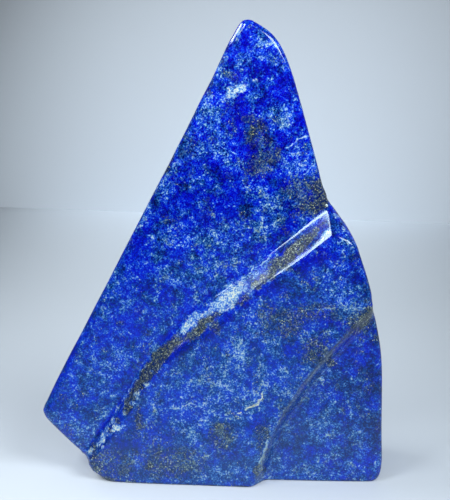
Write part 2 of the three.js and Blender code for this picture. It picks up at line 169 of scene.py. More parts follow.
def across(o, e, n, crease, lip, x, z, lip_round, crease_round):
    """How far across a bevel a point lies, 0 at its lip and 1 at its crease, with its slopes."""
    dx, dz = x - o[0], z - o[1]
    u, v = dx * e[0] + dz * e[1], dx * n[0] + dz * n[1]
    vc, dc = table_line(crease, u)
    vl, dl = table_line(lip, u)
    w = vc - vl
    t = (v - vl) / w
    a, da = soft_ramp(t, lip_round(u))
    b, db = soft_ramp(t - 1, crease_round)
    gu = (da - db) * (-dl / w - (v - vl) * (dc - dl) / (w * w))
    gv = (da - db) / w
    return a - b, gu * e[0] + gv * n[0], gu * e[1] + gv * n[1]


def band_across(x, z):
    return across(BAND_O, BAND_E, BAND_N, BAND_CREASE, BAND_LIP, x, z,
                  lambda u: 0.16 + 0.22 * np.clip((34 - u) / 30, 0, 1), 0.14)


def step_across(x, z):
    return across(STEP_O, STEP_E, STEP_N, STEP_CREASE, STEP_LIP, x, z, lambda u: 0.3 + 0 * u, 0.3)


def soft_min(a, b, k):
    h = np.clip(0.5 + 0.5 * (b[0] - a[0]) / k, 0, 1)
    return b[0] + (a[0] - b[0]) * h - k * h * (1 - h), b[1] + (a[1] - b[1]) * h, b[2] + (a[2] - b[2]) * h


def front_y(x, z):
    ya, yb, yc = (p[0] + p[1] * x + p[2] * z for p in (FACE_A, FACE_B, FACE_C))
    t1, t1x, t1z = band_across(x, z)
    t2, t2x, t2z = step_across(x, z)
    y2 = yb + (yc - yb) * t2
    y2x = FACE_B[1] + (FACE_C[1] - FACE_B[1]) * t2 + (yc - yb) * t2x
    y2z = FACE_B[2] + (FACE_C[2] - FACE_B[2]) * t2 + (yc - yb) * t2z
    y = y2 + (ya - y2) * t1
    yx = y2x + (FACE_A[1] - y2x) * t1 + (ya - y2) * t1x
    yz = y2z + (FACE_A[2] - y2z) * t1 + (ya - y2) * t1z
    k1, k2, a = 1 / 15.0, 1 / 19.0, 0.22
    p, q = x * k1 + 0.7 * z * k2 + 0.6, z * k2 - 0.4 * x * k1 + 1.1
    y = y + a * np.sin(p) * np.sin(q)
    yx = yx + a * k1 * (np.cos(p) * np.sin(q) - 0.4 * np.sin(p) * np.cos(q))
    yz = yz + a * k2 * (0.7 * np.cos(p) * np.sin(q) + np.sin(p) * np.cos(q))
    # the facet, where it lies deeper than the band and the face but no deeper than the upper face
    facet = soft_min((FACET[0] + FACET[1] * x + FACET[2] * z, FACET[1] + 0 * x, FACET[2] + 0 * x),
                     (ya - 0.6, FACE_A[1] + 0 * x, FACE_A[2] + 0 * x), FACET_BLEND)
    low = soft_min((-y, -yx, -yz), tuple(-v for v in facet), FACET_BLEND)
    return -low[0], -low[1], -low[2]


def back_y(x, z):
    p = [(c + cx * x + cz * z, cx + 0 * x, cz + 0 * x) for c, cx, cz in BACKS]
    y, yx, yz = soft_min(soft_min(p[0], p[1], 4.0), p[2], 5.0)
    s1, c1 = np.sin(x / 17 + 0.3), np.cos(x / 17 + 0.3)
    s2, c2 = np.sin(z / 13 + 2.0), np.cos(z / 13 + 2.0)
    return y + 0.3 * s1 * s2, yx + 0.3 * c1 / 17 * s2, yz + 0.3 * s1 * c2 / 13


def round_max(a, b, r):
    """Larger of two distances, edge rounded to radius r. Each is (value, slope x, y, z)."""
    u, v = np.maximum(a[0] + r, 0), np.maximum(b[0] + r, 0)
    h = np.hypot(u, v)
    corner = h > 0
    hs = np.where(corner, h, 1)
    first = a[0] > b[0]
    value = np.minimum(np.maximum(a[0], b[0]), -r) + h
    return (value, *(np.where(corner, (u * a[k] + v * b[k]) / hs, np.where(first, a[k], b[k])) for k in (1, 2, 3)))


def field(x, y, z, edge=None):
    """Distance-like field of the stone and its slopes. Negative inside."""
    d, dx, dz = edge_distance(x, z) if edge is None else edge
    pillow = PILLOW * np.exp(np.minimum(d, 2.0) / PILLOW_REACH)
    dp = np.where(d < 2.0, pillow / PILLOW_REACH, 0)
    yf, fx, fz = front_y(x, z)
    yb, gx, gz = back_y(x, z)
    yf, fx, fz = yf + pillow, fx + dp * dx, fz + dp * dz
    yb, gx, gz = yb - pillow, gx - dp * dx, gz - dp * dz
    nf, nb = 1 / np.sqrt(1 + fx * fx + fz * fz), 1 / np.sqrt(1 + gx * gx + gz * gz)
    q = 1 / math.sqrt(1 + DRAFT**2)
    zero = 0 * (x + y + z)
    side = ((d + DRAFT * (y - yf - R_RIM)) * q, (dx - DRAFT * fx) * q + zero, DRAFT * q + zero, (dz - DRAFT * fz) * q + zero)
    fr = ((yf - y) * nf, fx * nf + zero, -nf + zero, fz * nf + zero)
    bk = ((y - yb) * nb, -gx * nb + zero, nb + zero, -gz * nb + zero)
    g = round_max(round_max(fr, side, R_RIM), bk, R_BACK)
    for n, p in CUTS:
        n = np.array(n) / np.linalg.norm(n)
        dist = n[0] * x + n[1] * y + n[2] * z - float(n @ np.array(p))
        g = round_max(g, (dist, n[0] + zero, n[1] + zero, n[2] + zero), R_CUT)
    return round_max(g, (-z + zero, zero, zero, zero - 1), R_BASE)


def onto_surface(p, rounds=3):
    for _ in range(rounds):
        f = field(p[:, 0], p[:, 1], p[:, 2])
        g = np.stack(f[1:], -1)
        g2 = np.maximum((g * g).sum(-1), 0.2)
        p = p - (np.clip(f[0], -0.6, 0.6) / g2)[:, None] * g
    p[:, 2] = np.where(p[:, 2] < 0.004, 0, p[:, 2])
    return p


def surface_mesh(cell):
    """Vertices (mm) and quads of the zero level: one vertex a crossed cell, one quad a crossed edge."""
    gx = np.arange(-78, 68, cell)
    gy = np.arange(-32, 34, cell)
    gz = np.arange(-1.5 * cell, 186, cell)
    ex, ez = np.meshgrid(gx, gz, indexing="ij")
    edge = [v[:, None, :] for v in edge_distance(ex, ez)]
    sample = np.empty((len(gx), len(gy), len(gz)))
    for i in range(0, len(gx), 16):
        sl = slice(i, i + 16)
        part = [v[sl] for v in edge]
        sample[sl] = field(gx[sl, None, None], gy[None, :, None], gz[None, None, :], part)[0]
    inside = sample < 0
    n = sample.shape
    cells = (n[0] - 1, n[1] - 1, n[2] - 1)
    total = np.zeros(cells + (3,))
    count = np.zeros(cells)
    crossed = []
    for axis in range(3):
        a = [slice(None)] * 3
        b = [slice(None)] * 3
        a[axis], b[axis] = slice(0, -1), slice(1, None)
        fa, fb = sample[tuple(a)], sample[tuple(b)]
        hit = inside[tuple(a)] != inside[tuple(b)]
        idx = np.argwhere(hit)
        t = (fa / np.where(hit, fa - fb, 1))[hit]
        at = idx.astype(float)
        at[:, axis] += t
        o1, o2 = (axis + 1) % 3, (axis + 2) % 3
        for s1 in (0, 1):
            for s2 in (0, 1):
                c = idx.copy()
                c[:, o1] -= s1
                c[:, o2] -= s2
                ok = (c >= 0).all(1) & (c < cells).all(1)
                k = tuple(c[ok].T)
                np.add.at(total, k, at[ok])
                np.add.at(count, k, 1)
        crossed.append((axis, idx, inside[tuple(a)][hit]))
    live = count > 0
    number = np.full(cells, -1)
    number[live] = np.arange(int(live.sum()))
    v = total[live] / count[live][:, None] * cell + np.array([gx[0], gy[0], gz[0]])
    quads = []
    for axis, idx, first_in in crossed:
        o1, o2 = (axis + 1) % 3, (axis + 2) % 3
        ring = []
        for s1, s2 in ((1, 1), (0, 1), (0, 0), (1, 0)):
            c = idx.copy()
            c[:, o1] -= s1
            c[:, o2] -= s2
            ring.append(number[tuple(c.T)])
        q = np.stack(ring, -1)
        q[~first_in] = q[~first_in][:, ::-1]
        quads.append(q)
    quads = np.concatenate(quads)
    v = onto_surface(v)
    # even the quads out along the surface
    a = quads.ravel()
    b = np.roll(quads, -1, axis=1).ravel()
    degree = np.bincount(np.r_[a, b], minlength=len(v))[:, None]
    for _ in range(2):
        mean = np.stack([np.bincount(a, v[b, k], len(v)) + np.bincount(b, v[a, k], len(v)) for k in range(3)], -1) / degree
        flat = v[:, 2] == 0
        moved = v + 0.5 * (mean - v)
        moved[flat, 2] = 0
        v = onto_surface(moved, 2)
    return v, quads


verts, quads = surface_mesh(CELL)
print("fine mesh", len(verts), "vertices", 2 * len(quads), "triangles")
normals = np.stack(field(verts[:, 0], verts[:, 1], verts[:, 2])[1:], -1)
normals /= np.linalg.norm(normals, axis=1)[:, None]

place = (verts - np.array([CENTRE[0], CENTRE[1], 0.0])) * MM
me = bpy.data.meshes.new("lapis_stone")
me.vertices.add(len(verts))
me.vertices.foreach_set("co", place.astype(np.float32).ravel())
me.loops.add(quads.size)
me.loops.foreach_set("vertex_index", quads.astype(np.int32).ravel())
me.polygons.add(len(quads))
me.polygons.foreach_set("loop_start", np.arange(0, quads.size, 4, dtype=np.int32))
me.polygons.foreach_set("loop_total", np.full(len(quads), 4, np.int32))
me.update(calc_edges=True)
me.validate()
me.polygons.foreach_set("use_smooth", np.ones(len(quads), bool))
me.normals_split_custom_set_from_vertices(normals.astype(np.float32))
stone = bpy.data.objects.new("lapis_stone", me)
bpy.context.scene.collection.objects.link(stone)

# ------------------------------------------------------------------- the view
PITCH = math.radians(12.0)
LENS = 65.0
DIST, AIM_Z = 363.047, 90.243
cam_data = bpy.data.cameras.new("camera")
cam_data.lens = LENS
cam_data.sensor_width = 36.0
cam_data.sensor_fit = "AUTO"
cam = bpy.data.objects.new("camera", cam_data)
bpy.context.scene.collection.objects.link(cam)
cam_mm = np.array([0.0, -DIST * math.cos(PITCH), AIM_Z + DIST * math.sin(PITCH)])
cam.location = ((cam_mm[0] - CENTRE[0]) * MM, (cam_mm[1] - CENTRE[1]) * MM, cam_mm[2] * MM)
cam.rotation_euler = (math.radians(90) - PITCH, 0, 0)
cam_data.clip_start, cam_data.clip_end = 0.01, 50
bpy.context.scene.camera = cam

# ------------------------------------------------------------------ markings
# Marks on the front are placed in the main view's own frame, 450 wide by 500 high.
FOCAL = 500 * LENS / 36.0


def view_frame(p):
    d = p - cam_mm
    depth = d[:, 1] * math.cos(PITCH) - d[:, 2] * math.sin(PITCH)
    up = d[:, 1] * math.sin(PITCH) + d[:, 2] * math.cos(PITCH)
    return 225 + FOCAL * d[:, 0] / depth, 250 - FOCAL * up / depth


def smooth(lo, hi, v):
    t = np.clip((v - lo) / (hi - lo), 0, 1)
    return t * t * (3 - 2 * t)


# solid white and greenish-white calcite, and some painted highlights noted below: x, y, half width, half height, turn,
# strength
CALCITE_AND_HIGHLIGHTS = [
    (240, 87.5, 7.5, 6, -20, 1.0), (232, 92.5, 8, 6, -12, 1.0), (255, 81, 4, 3, 0, 0.7), (288, 115, 3, 3.4, 0, 0.8),
    (290, 123, 3.2, 4, -40, 0.6), (283, 127, 6, 3, -20, 0.5), (303, 166, 4, 3.4, 20, 0.72), (308, 171, 5, 3, 0, 0.66),
    (314, 163, 2.6, 5.5, 12, 0.5), (271, 203, 5, 2.6, -22, 0.85), (264, 208, 4, 2.2, -40, 0.62), (215, 156, 4.4, 2.6, -10, 0.6),
    (248, 61, 5, 2.4, -18, 0.58), (263, 57, 3.6, 2.4, -10, 0.58), (257, 46, 5, 3, 0, 0.42), (213, 97, 5.5, 3, -10, 0.6),
    # the marks at (239, 31), (234, 42) and (228, 54) below are painted highlight: they widen and lengthen the lit
    # streak on the apex's left rim
    (206, 107, 5, 3.4, -20, 0.55), (239, 31, 2.6, 5, 28, 0.8), (234, 42, 1.8, 6, 25, 0.6), (228, 54, 1.6, 6, 24, 0.4), (204, 116, 3, 4, 0, 0.4), (188, 125, 2.4, 6, 25, 0.5), (175, 164, 4, 2.6, -20, 0.55),
    (164, 178, 3.4, 5, 22, 0.55), (157, 188, 3, 5, 25, 0.42), (141, 227, 4, 2.6, 0, 0.66), (104, 307, 3.6, 3.4, 0, 0.56),
    (111, 317, 3.4, 2.4, 20, 0.45), (204, 291, 5, 2.6, 4, 0.6), (194, 303, 3, 3.2, 0, 0.52), (223, 267, 4, 3, 0, 0.48),
    (224, 275, 4.5, 3, 0, 0.46), (237, 224, 3.4, 3.6, 20, 0.5), (226, 60, 2.6, 5, 10, 0.5), (220, 69, 3, 3, 0, 0.45),
    (280, 56, 5, 3, -20, 0.5), (297, 107, 4, 2.4, -30, 0.45), (307, 134, 3.2, 3, 0, 0.55), (186, 140, 3, 3, 0, 0.45),
    (286, 183, 2.6, 4, 10, 0.45), (263, 192, 3, 4, -20, 0.45), (308, 189, 3, 3, 0, 0.5), (302, 195, 3.4, 4.6, 28, 0.55),
    # the white body along the bevel
    (186, 328, 4.4, 9, 40, 1.05), (194, 318, 4, 7, 40, 0.9), (217, 304, 9, 5, -38, 0.95), (226, 299, 9, 7, -40, 1.0),
    (235, 291, 8, 6, -40, 1.0), (231, 303, 7, 5, -40, 0.85), (240, 284, 6, 4, -30, 0.8), (222, 309, 7, 4, -30, 0.85),
    # the marks at (146, 366) and (137, 381) below are painted highlight: the pale line along the crease's edge at the
    # band's lower left
    (229, 284, 6, 2.4, -20, 0.75), (251, 290, 6, 4, -40, 0.6), (146, 366, 1.8, 9, 36, 0.62), (137, 381, 1.6, 7, 34, 0.55),
    (262, 272, 5, 3, -40, 0.55), (256, 276, 5, 3.4, -40, 0.6), (176, 336, 4, 2.4, -40, 0.7), (206, 312, 5, 3, -40, 0.8),
    (183, 331, 3.8, 5, 40, 1.0), (188, 323, 4, 5.4, 40, 0.96), (195, 315, 3.6, 4.8, 35, 0.86), (178, 338, 4.4, 3, -35, 0.62),
    (206, 314, 4.4, 3.4, -40, 0.86), (214, 306, 6, 5, -40, 0.95), (224, 300, 8, 7, -40, 1.0), (233, 296, 7.5, 6, -50, 1.05),
    (223, 310, 6, 4, -30, 0.74), (232, 286, 5.4, 3.2, -12, 0.92), (243, 288, 7.5, 5.4, -20, 0.8), (251, 293, 5, 4, -20, 0.6),
    (243, 278, 4, 3, -30, 0.5), (253, 267, 4.6, 2.4, -35, 0.62), (266, 273, 5, 2.6, -20, 0.62), (268, 282, 3, 3, 0, 0.55),
    # the mark at (142, 366) below is painted highlight on that same crease edge
    (208, 325, 5, 2.6, -20, 0.55), (168, 345, 3.4, 1.8, -40, 0.5), (142, 366, 2, 6.4, 32, 0.6), (281, 262, 2.4, 3, 0, 0.5),
    (192, 322, 6, 3.6, 45, 0.86), (200, 316, 6, 4, -40, 0.86), (210, 311, 6, 4, -40, 0.8),
    # lower face
    (263, 318, 2.6, 5, 22, 0.62), (258, 328, 2.6, 4.6, 14, 0.55), (250, 337, 2.8, 5, 0, 0.55), (241, 356, 4, 5.6, 14, 0.66),
    (254, 348, 3, 3, 0, 0.5), (276, 306, 3.4, 2.6, 0, 0.48), (351, 310, 6.5, 5.5, 0, 0.52), (358, 295, 3, 3.4, 0, 0.5),
    (357, 314, 3.4, 3, 0, 0.55), (340, 277, 3, 3.6, 0, 0.48), (329, 282, 3, 2.8, 0, 0.5), (330, 345, 3.4, 4, 0, 0.46),
    (215, 365, 6, 3, -12, 0.5), (223, 378, 7, 4, -20, 0.44), (219, 390, 2.2, 5, 14, 0.6), (201, 405, 8, 3.6, -10, 0.75),
    (190, 395, 3.6, 3, 0, 0.55), (183, 432, 4.4, 3, -12, 0.6), (195, 427, 4, 3, -20, 0.5), (203, 421, 6, 4, -14, 0.56),
    (241, 398, 5.5, 5, 20, 0.52), (246, 391, 3, 3, 0, 0.5), (240, 433, 7, 5, 20, 0.5), (232, 425, 4, 3, 0, 0.45),
    (260, 374, 3, 3, 0, 0.55), (262, 365, 3, 3, 0, 0.44), (296, 378, 4, 4.6, 0, 0.52), (293, 397, 3, 2.4, 0, 0.82),
    (288, 390, 3, 3, 0, 0.48), (279, 415, 3, 3, 0, 0.42), (117, 427, 3.6, 4.4, -30, 0.9), (108, 435, 4.4, 2.8, -42, 0.6), (109, 383, 3.8, 3.4, 0, 0.5), (109, 348, 3.4, 3, 0, 0.45),
    (127, 356, 3.6, 6, 0, 0.42), (147, 382, 5.4, 2.4, -10, 0.55), (135, 397, 2.6, 3.4, 30, 0.56), (101, 366, 5, 3, -20, 0.4),
    (118, 366, 4, 2.4, 0, 0.4), (154, 415, 6, 3, -10, 0.42), (226, 474, 4.4, 2.6, -30, 0.62), (237, 469, 3.6, 2.6, -20, 0.56),
    (194, 484, 5, 2, 0, 0.55), (267, 477, 5, 2.4, 0, 0.55), (205, 437, 3.6, 3, 0, 0.44), (200, 444, 2.4, 3, 0, 0.44),
    (230, 485, 10, 1.8, 0, 0.42), (269, 459, 5, 4, 0, 0.4), (323, 378, 4, 3.2, -20, 0.95), (330, 371, 2.8, 3.4, 0, 0.58),
    (321, 423, 5, 3.6, -16, 0.5), (311, 390, 2.8, 3, 0, 0.4), (355, 479, 4, 1.8, 0, 0.7), (331, 475, 4, 2.4, 0, 0.4),
    (146, 384, 2.4, 3.6, 30, 0.95), (137, 395, 2.2, 4.6, 34, 0.95), (133, 403, 2, 4, 34, 0.9), (125, 412, 3.6, 2.2, -40, 0.86),
    (139, 379, 1.8, 4, 34, 0.7), (130, 390, 1.8, 4, 34, 0.66), (124, 398, 1.8, 6, 36, 0.66), (117, 408, 2, 7, 38, 0.66), (151, 372, 2, 2.6, 30, 0.7),
    (112, 421, 2.8, 4.4, 38, 0.84), (107, 430, 3, 5, 36, 0.9), (103, 438, 3.8, 4.6, 36, 1.0), (99, 444, 3, 4.4, 34, 0.9),
    (104, 447, 2, 4, 20, 0.8), (90, 452, 3.4, 3.4, 0, 0.95), (91, 459, 2, 2.6, 0, 0.7), (160, 347, 2.4, 1.8, -35, 0.6),
    # the marks at (327.5, 232) and (322, 237) below are painted highlight: they widen the bright triangle on the facet
    # at the band's right end
    (337, 217, 3.4, 2.0, 35, 0.72), (344, 229, 2.2, 4.0, -20, 0.78), (339, 224, 2.4, 2.6, -30, 0.55), (327.5, 232, 3.6, 2.0, -38, 1.2), (322, 237, 4, 1.6, -40, 1.0),
    (318, 216, 8, 2.2, -42, 0.52), (328, 206, 1.8, 2.4, -30, 0.9), (335, 209, 1.6, 2.4, -30, 0.6),
    (117, 427, 2.0, 2.4, -30, 1.3), (114, 430, 1.8, 2.0, 0, 1.2), (75, 420, 3, 6, 14, 0.36), (92, 409, 3, 2.4, 0, 0.36), (93, 432, 3, 2.6, 0, 0.44), (45, 409, 2, 4, -20, 0.5),
]
# olive-brown matrix with pyrite in it
MATRIX = [
    (254, 131, 4, 5.4, -20, 0.92), (252, 120, 3, 3, 0, 0.45), (277, 153, 4.4, 3.8, -20, 0.72), (268, 156, 4, 3, -30, 0.55),
    (262, 162, 5, 3, -42, 0.66), (256, 169, 4.4, 2.8, -10, 0.62), (269, 167, 3.4, 3, 0, 0.5), (247, 182, 3, 3.8, -20, 0.52),
    (224, 72, 4, 2.6, 0, 0.48), (228, 104, 3.4, 2.8, 0, 0.48), (223, 113, 3, 2.6, 0, 0.4), (211, 80, 2.4, 8, 22, 0.45),
    (186, 132, 2, 8, 25, 0.5), (168, 165, 2.4, 11, 25, 0.66), (194, 113, 2, 6, 25, 0.4), (153, 194, 2, 5, 25, 0.4),
    (318, 187, 6, 6, 0, 0.92), (323, 196, 3.6, 8, -12, 1.05), (305, 200, 6, 3.6, 0, 0.62), (318, 206, 8, 4.4, -10, 1.05),
    (306, 208, 7, 4, 0, 0.7), (311, 214, 4, 3.4, -30, 0.55), (304, 216, 3.4, 2.6, -20, 0.45), (291, 182, 4, 2.6, 0, 0.5),
    (321, 192, 7, 6, 60, 0.80), (311, 201, 8, 5, -20, 0.66), (318, 207, 7, 4, -40, 0.72), (303, 207, 6, 4, -10, 0.55),
    (312, 186, 6, 4, 20, 0.7), (296, 214, 5, 3, -20, 0.55), (258, 126, 8, 7, 40, 0.62), (266, 141, 7, 6, 30, 0.5),
    (249, 119, 6, 5, 0, 0.6), (272, 160, 9, 5, -30, 0.66), (258, 172, 7, 4, -20, 0.55), (232, 76, 7, 4, 20, 0.5),
    (305, 177, 4, 3, 0, 0.4), (206, 200, 4, 3, 0, 0.4), (240, 215, 3, 2.8, 0, 0.42), (249, 225, 3, 2.6, 0, 0.4),
    (264, 211, 3, 3.4, 0, 0.45), (281, 223, 3, 3, 0, 0.48), (286, 231, 3, 5, -30, 0.52), (262, 237, 3.4, 2.8, 0, 0.42),
    (254, 27, 5, 2, 25, 0.4), (165, 217, 4, 3.4, 0, 0.4), (196, 247, 4, 3, 0, 0.4),
    # along the bevel
    (320, 226, 6, 2.8, -42, 0.62), (314, 233, 8, 3.2, -42, 0.8), (306, 241, 8, 4.2, -42, 0.95), (298, 247, 7, 5, -42, 1.05),
    (289, 255, 7, 5, -40, 1.05), (280, 262, 7, 4.4, -42, 0.95), (272, 270, 6, 4.2, -42, 0.9), (264, 279, 5, 3.4, -40, 0.8),
    (200, 328, 7, 4.2, -42, 1.0), (208, 320, 7, 4, -45, 1.05), (216, 315, 4, 3, -30, 0.7), (191, 336, 6, 3.4, -30, 0.8),
    (176, 342, 6, 4, -35, 0.95), (167, 349, 7, 4.6, -45, 1.05), (160, 357, 7, 4.8, -50, 1.1), (153, 366, 7, 4.8, -52, 1.1),
    (146, 375, 7, 4.6, -54, 1.05), (140, 384, 7, 4, -56, 1.0), (134, 393, 6, 3.6, -58, 0.9), (129, 402, 6, 3, -60, 0.8),
    (216, 327, 3, 7, -15, 0.72), (240, 303, 4, 3, 40, 0.7), (246, 297, 3.6, 3, 0, 0.7),
    (293, 252, 7.4, 4.6, -30, 1.1), (286, 254, 4, 3.4, 0, 0.8), (302, 244, 7.4, 3.2, -45, 0.85), (309, 237, 5, 2.6, -45, 0.66),
    (318, 230, 5, 2.2, -42, 0.5), (275, 263, 4.4, 4.4, 0, 0.78), (283, 266, 6, 3.6, -20, 0.76), (289, 270, 3.4, 2.6, 0, 0.5),
    (271, 277, 4.6, 3.8, -20, 0.95), (263, 281, 4, 2.8, -20, 0.68), (256, 285, 3.8, 4.2, 0, 1.0), (237, 303, 3.8, 3.2, 0, 0.6),
    (243, 298, 3.4, 2.8, 0, 0.5), (203, 325, 5.4, 4.6, -45, 1.05), (209, 318, 6, 3, -38, 0.85), (214, 331, 2.8, 4.8, -18, 0.56),
    (190, 336, 4, 2.8, -20, 0.75), (182, 338, 4, 2.6, 0, 0.62), (175, 338, 3.6, 5, 35, 0.68), (168, 346, 5.4, 3.4, -35, 0.9),
    (162, 352, 3.8, 5.6, 35, 1.05), (157, 360, 3.8, 5, 32, 0.95), (152, 367, 4, 4.4, 0, 0.9), (145, 375, 3.8, 6, 30, 0.9),
    (138, 386, 3.6, 4.4, 22, 0.8), (133, 396, 2.8, 4.4, 25, 0.64), (128, 408, 2.6, 5.0, 30, 1.0), (110, 430, 3.4, 2.4, -30, 0.86),
    (119, 421, 2.4, 2.8, 0, 0.66), (93, 448, 3.2, 5, 20, 0.66), (93, 457, 4, 4, 0, 0.8), (96, 465, 3.4, 4.4, -30, 0.7),
    (287, 322, 15, 12, 20, 0.63), (316, 352, 14, 11, 20, 0.65), (268, 318, 9, 13, 0, 0.57),
    (262, 162, 15, 12, -30, 0.55), (254, 137, 9, 9, 0, 0.50), (302, 189, 17, 11, 0, 0.55), (360, 322, 12, 12, 0, 0.58),
    (222, 436, 12, 13, 0, 0.60), (262, 440, 6, 18, -8, 0.54), (150, 440, 20, 16, 0, 0.42), (318, 312, 22, 8, 0, 0.55),
    (114, 464, 20, 13, 20, 0.58), (172, 462, 28, 14, 0, 0.60), (300, 385, 10, 12, 0, 0.40), (284, 408, 9, 14, 0, 0.38),
    # lower face
    (309, 286, 3.4, 3, 30, 0.5), (314, 290, 3, 3, 0, 0.52), (287, 296, 3, 4, 0, 0.48), (266, 308, 2.8, 5, -14, 0.54),
    (276, 314, 3.8, 3, 30, 0.5), (265, 321, 3.4, 3, 0, 0.42), (276, 328, 3, 3, 0, 0.44), (264, 335, 3.4, 2.6, 0, 0.48),
    (256, 334, 2.8, 3.4, 0, 0.44), (292, 323, 3.4, 6, -12, 0.6), (294, 329, 3, 2.8, 0, 0.58), (285, 335, 4.4, 3, -15, 0.66),
    (245, 328, 3, 2.8, 0, 0.44), (325, 314, 2.8, 4, -15, 0.52), (313, 343, 3.2, 4.4, 0, 0.64), (311, 351, 5, 3.4, 0, 0.72),
    (303, 361, 4.6, 2.8, 0, 0.6), (325, 343, 3, 2.6, 0, 0.55), (327, 357, 6, 5, 30, 0.7), (332, 362, 4, 4, 0, 0.74),
    (341, 325, 2.8, 4, 0, 0.42), (227, 354, 2.8, 4.4, 0, 0.48), (290, 368, 3, 3, 0, 0.34), (364, 320, 4.4, 7.4, 32, 1.1),
    (370, 311, 3, 6, 30, 1.0), (358, 327, 5, 5, 0, 0.78), (363, 336, 5, 5, 0, 0.55), (376, 338, 4, 3.4, 0, 0.62),
    (354, 306, 5, 3, 0, 0.44), (368, 300, 3.4, 4, 0, 0.5), (139, 421, 3.4, 8.4, -8, 0.74), (140, 409, 2.8, 5, 0, 0.5),
    (149, 437, 3, 4, -20, 0.48), (158, 401, 4, 3, 0, 0.5), (220, 427, 4, 3.4, 0, 0.78), (226, 432, 4, 2.8, 0, 0.66),
    (216, 441, 3, 3, 0, 0.55), (222, 446, 3.4, 3, 0, 0.52), (233, 415, 6, 2.6, 25, 0.44), (173, 432, 4.4, 5, -20, 0.44),
    (170, 449, 4, 3, 0, 0.54), (182, 456, 4.4, 6, 0, 0.52), (185, 463, 4, 5, 0, 0.5), (201, 463, 2.8, 4, 0, 0.5),
    (150, 466, 4, 3.6, 0, 1.0), (158, 461, 3, 4, 0, 0.46), (136, 453, 4, 4.4, -30, 0.62), (158, 477, 5, 3.4, 0, 0.56),
    (176, 473, 5, 2.8, 0, 0.5), (135, 474, 3, 4, 0, 0.42), (69, 430, 4, 6.4, -35, 0.5), (98, 471, 3.4, 4, -40, 0.8),
    (108, 479, 8, 2.4, 20, 0.8), (126, 482, 9, 1.8, 0, 0.66), (150, 484, 9, 1.4, 0, 0.5), (240, 486, 9, 1.3, 0, 0.6),
    (257, 470, 2.6, 5.4, 14, 0.82), (263, 469, 3, 3.4, 0, 0.7), (283, 409, 4, 3, 0, 0.5), (268, 434, 2.8, 7, -6, 0.66),
    (267, 445, 3, 3, 0, 0.5), (338, 387, 3, 3.6, 0, 0.46), (345, 411, 3, 3.4, 0, 0.5), (378, 427, 2.4, 5, 0, 0.52),
    (365, 417, 4, 2.6, 0, 0.36), (368, 372, 3, 4, 0, 0.36), (352, 393, 5, 2.6, -20, 0.36), (119, 324, 3.6, 3, 0, 0.52),
    (106, 458, 3.4, 5, 0, 0.44), (150, 342, 3, 2.6, 0, 0.34), (62, 383, 3, 3, 0, 0.34), (252, 250, 3, 3, 0, 0.36),
    (207, 200, 4, 3.4, 0, 0.46), (242, 215, 4, 3, 0, 0.46), (170, 222, 5, 4, 0, 0.46), (210, 247, 4, 3.4, 0, 0.46), (200, 267, 4, 3, 0, 0.44),
    (120, 323, 4, 3.2, 0, 0.50), (147, 332, 4, 3.4, 0, 0.46), (247, 172, 5, 4, 0, 0.5), (236, 262, 4, 3, 0, 0.42),
]
# clearer, darker blue, and painted shade along the band's crease and lip as noted below
DEEP_AND_SHADE = [
    (285, 84, 9, 15, -10, 0.85), (276, 97, 10, 8, 0, 0.6), (261, 104, 6, 6, 0, 0.7), (262, 72, 18, 6, -6, 0.55),
    (251, 36, 7, 8, 30, 0.45), (299, 121, 5, 9, -12, 0.8), (228, 176, 9, 5, 0, 0.5), (252, 155, 4, 14, 12, 0.6),
    (224, 203, 16, 8, 0, 0.6), (219, 165, 5, 6, 0, 0.5), (148, 230, 8, 5, -20, 0.6), (140, 240, 8, 6, -40, 0.55),
    (275, 138, 10, 5, 0, 0.4), (230, 122, 9, 10, 0, 0.4), (190, 168, 12, 6, -20, 0.4), (180, 195, 10, 12, 10, 0.35),
    (245, 112, 8, 6, 0, 0.45), (275, 177, 16, 5, 0, 0.45), (168, 212, 9, 9, 0, 0.4), (215, 218, 12, 6, 0, 0.35),
    # the marks below from (321, 257) to (168, 362) are painted shade, the dark strip under the band's lip; (119, 402),
    # (109, 417), (100, 430) and (130, 388) are painted shade in the crease at the band's lower left
    (321, 257, 15, 7, -30, 0.9), (302, 268, 11, 5, -32, 0.75), (276, 285, 7, 5, -30, 0.75), (262, 292, 9, 5, -28, 0.65),
    (248, 303, 10, 4, -32, 0.75), (228, 320, 10, 3.4, -30, 0.8), (206, 336, 11, 4, -28, 0.7), (184, 348, 14, 5, -26, 0.85),
    (168, 362, 8, 4, -40, 0.5), (119, 402, 1.7, 12, 38, 1.0), (109, 417, 2.0, 12, 38, 1.0), (100, 430, 2.2, 7, 36, 1.0), (130, 388, 3, 8, 32, 0.6),
    # the marks below from (275, 239) to (168, 333) are painted shade, the dark strip along the crease above the band
    (359, 280, 9, 6, 0, 0.75), (275, 239, 8, 5, -40, 0.7), (288, 228, 9, 4, -30, 0.5), (258, 250, 8, 4, -40, 0.45),
    (231, 276, 9, 3, -32, 0.6), (211, 293, 9, 3, -36, 0.55), (181, 319, 4, 8, 38, 0.55), (168, 333, 5, 7, 38, 0.5),
    (91, 315, 4, 14, 27, 0.6), (72, 352, 4, 18, 27, 0.7), (60, 378, 4, 12, 27, 0.5), (145, 262, 14, 18, 20, 0.3),
    (160, 292, 12, 10, 0, 0.35), (135, 280, 12, 12, 0, 0.3), (130, 228, 4, 12, 27, 0.3), (345, 345, 10, 16, 0, 0.3),
    (326, 322, 12, 6, -20, 0.4), (290, 350, 10, 10, 0, 0.3), (352, 360, 14, 14, 0, 0.35), (372, 365, 9, 30, 0, 0.5),
    (375, 440, 8, 30, 0, 0.45), (296, 447, 18, 12, 0, 0.3), (258, 425, 8, 8, 0, 0.4), (230, 452, 14, 8, -10, 0.4),
    (215, 463, 10, 6, 0, 0.35), (120, 445, 14, 10, 0, 0.25), (290, 300, 10, 5, -20, 0.4), (345, 262, 8, 8, 0, 0.4),
]
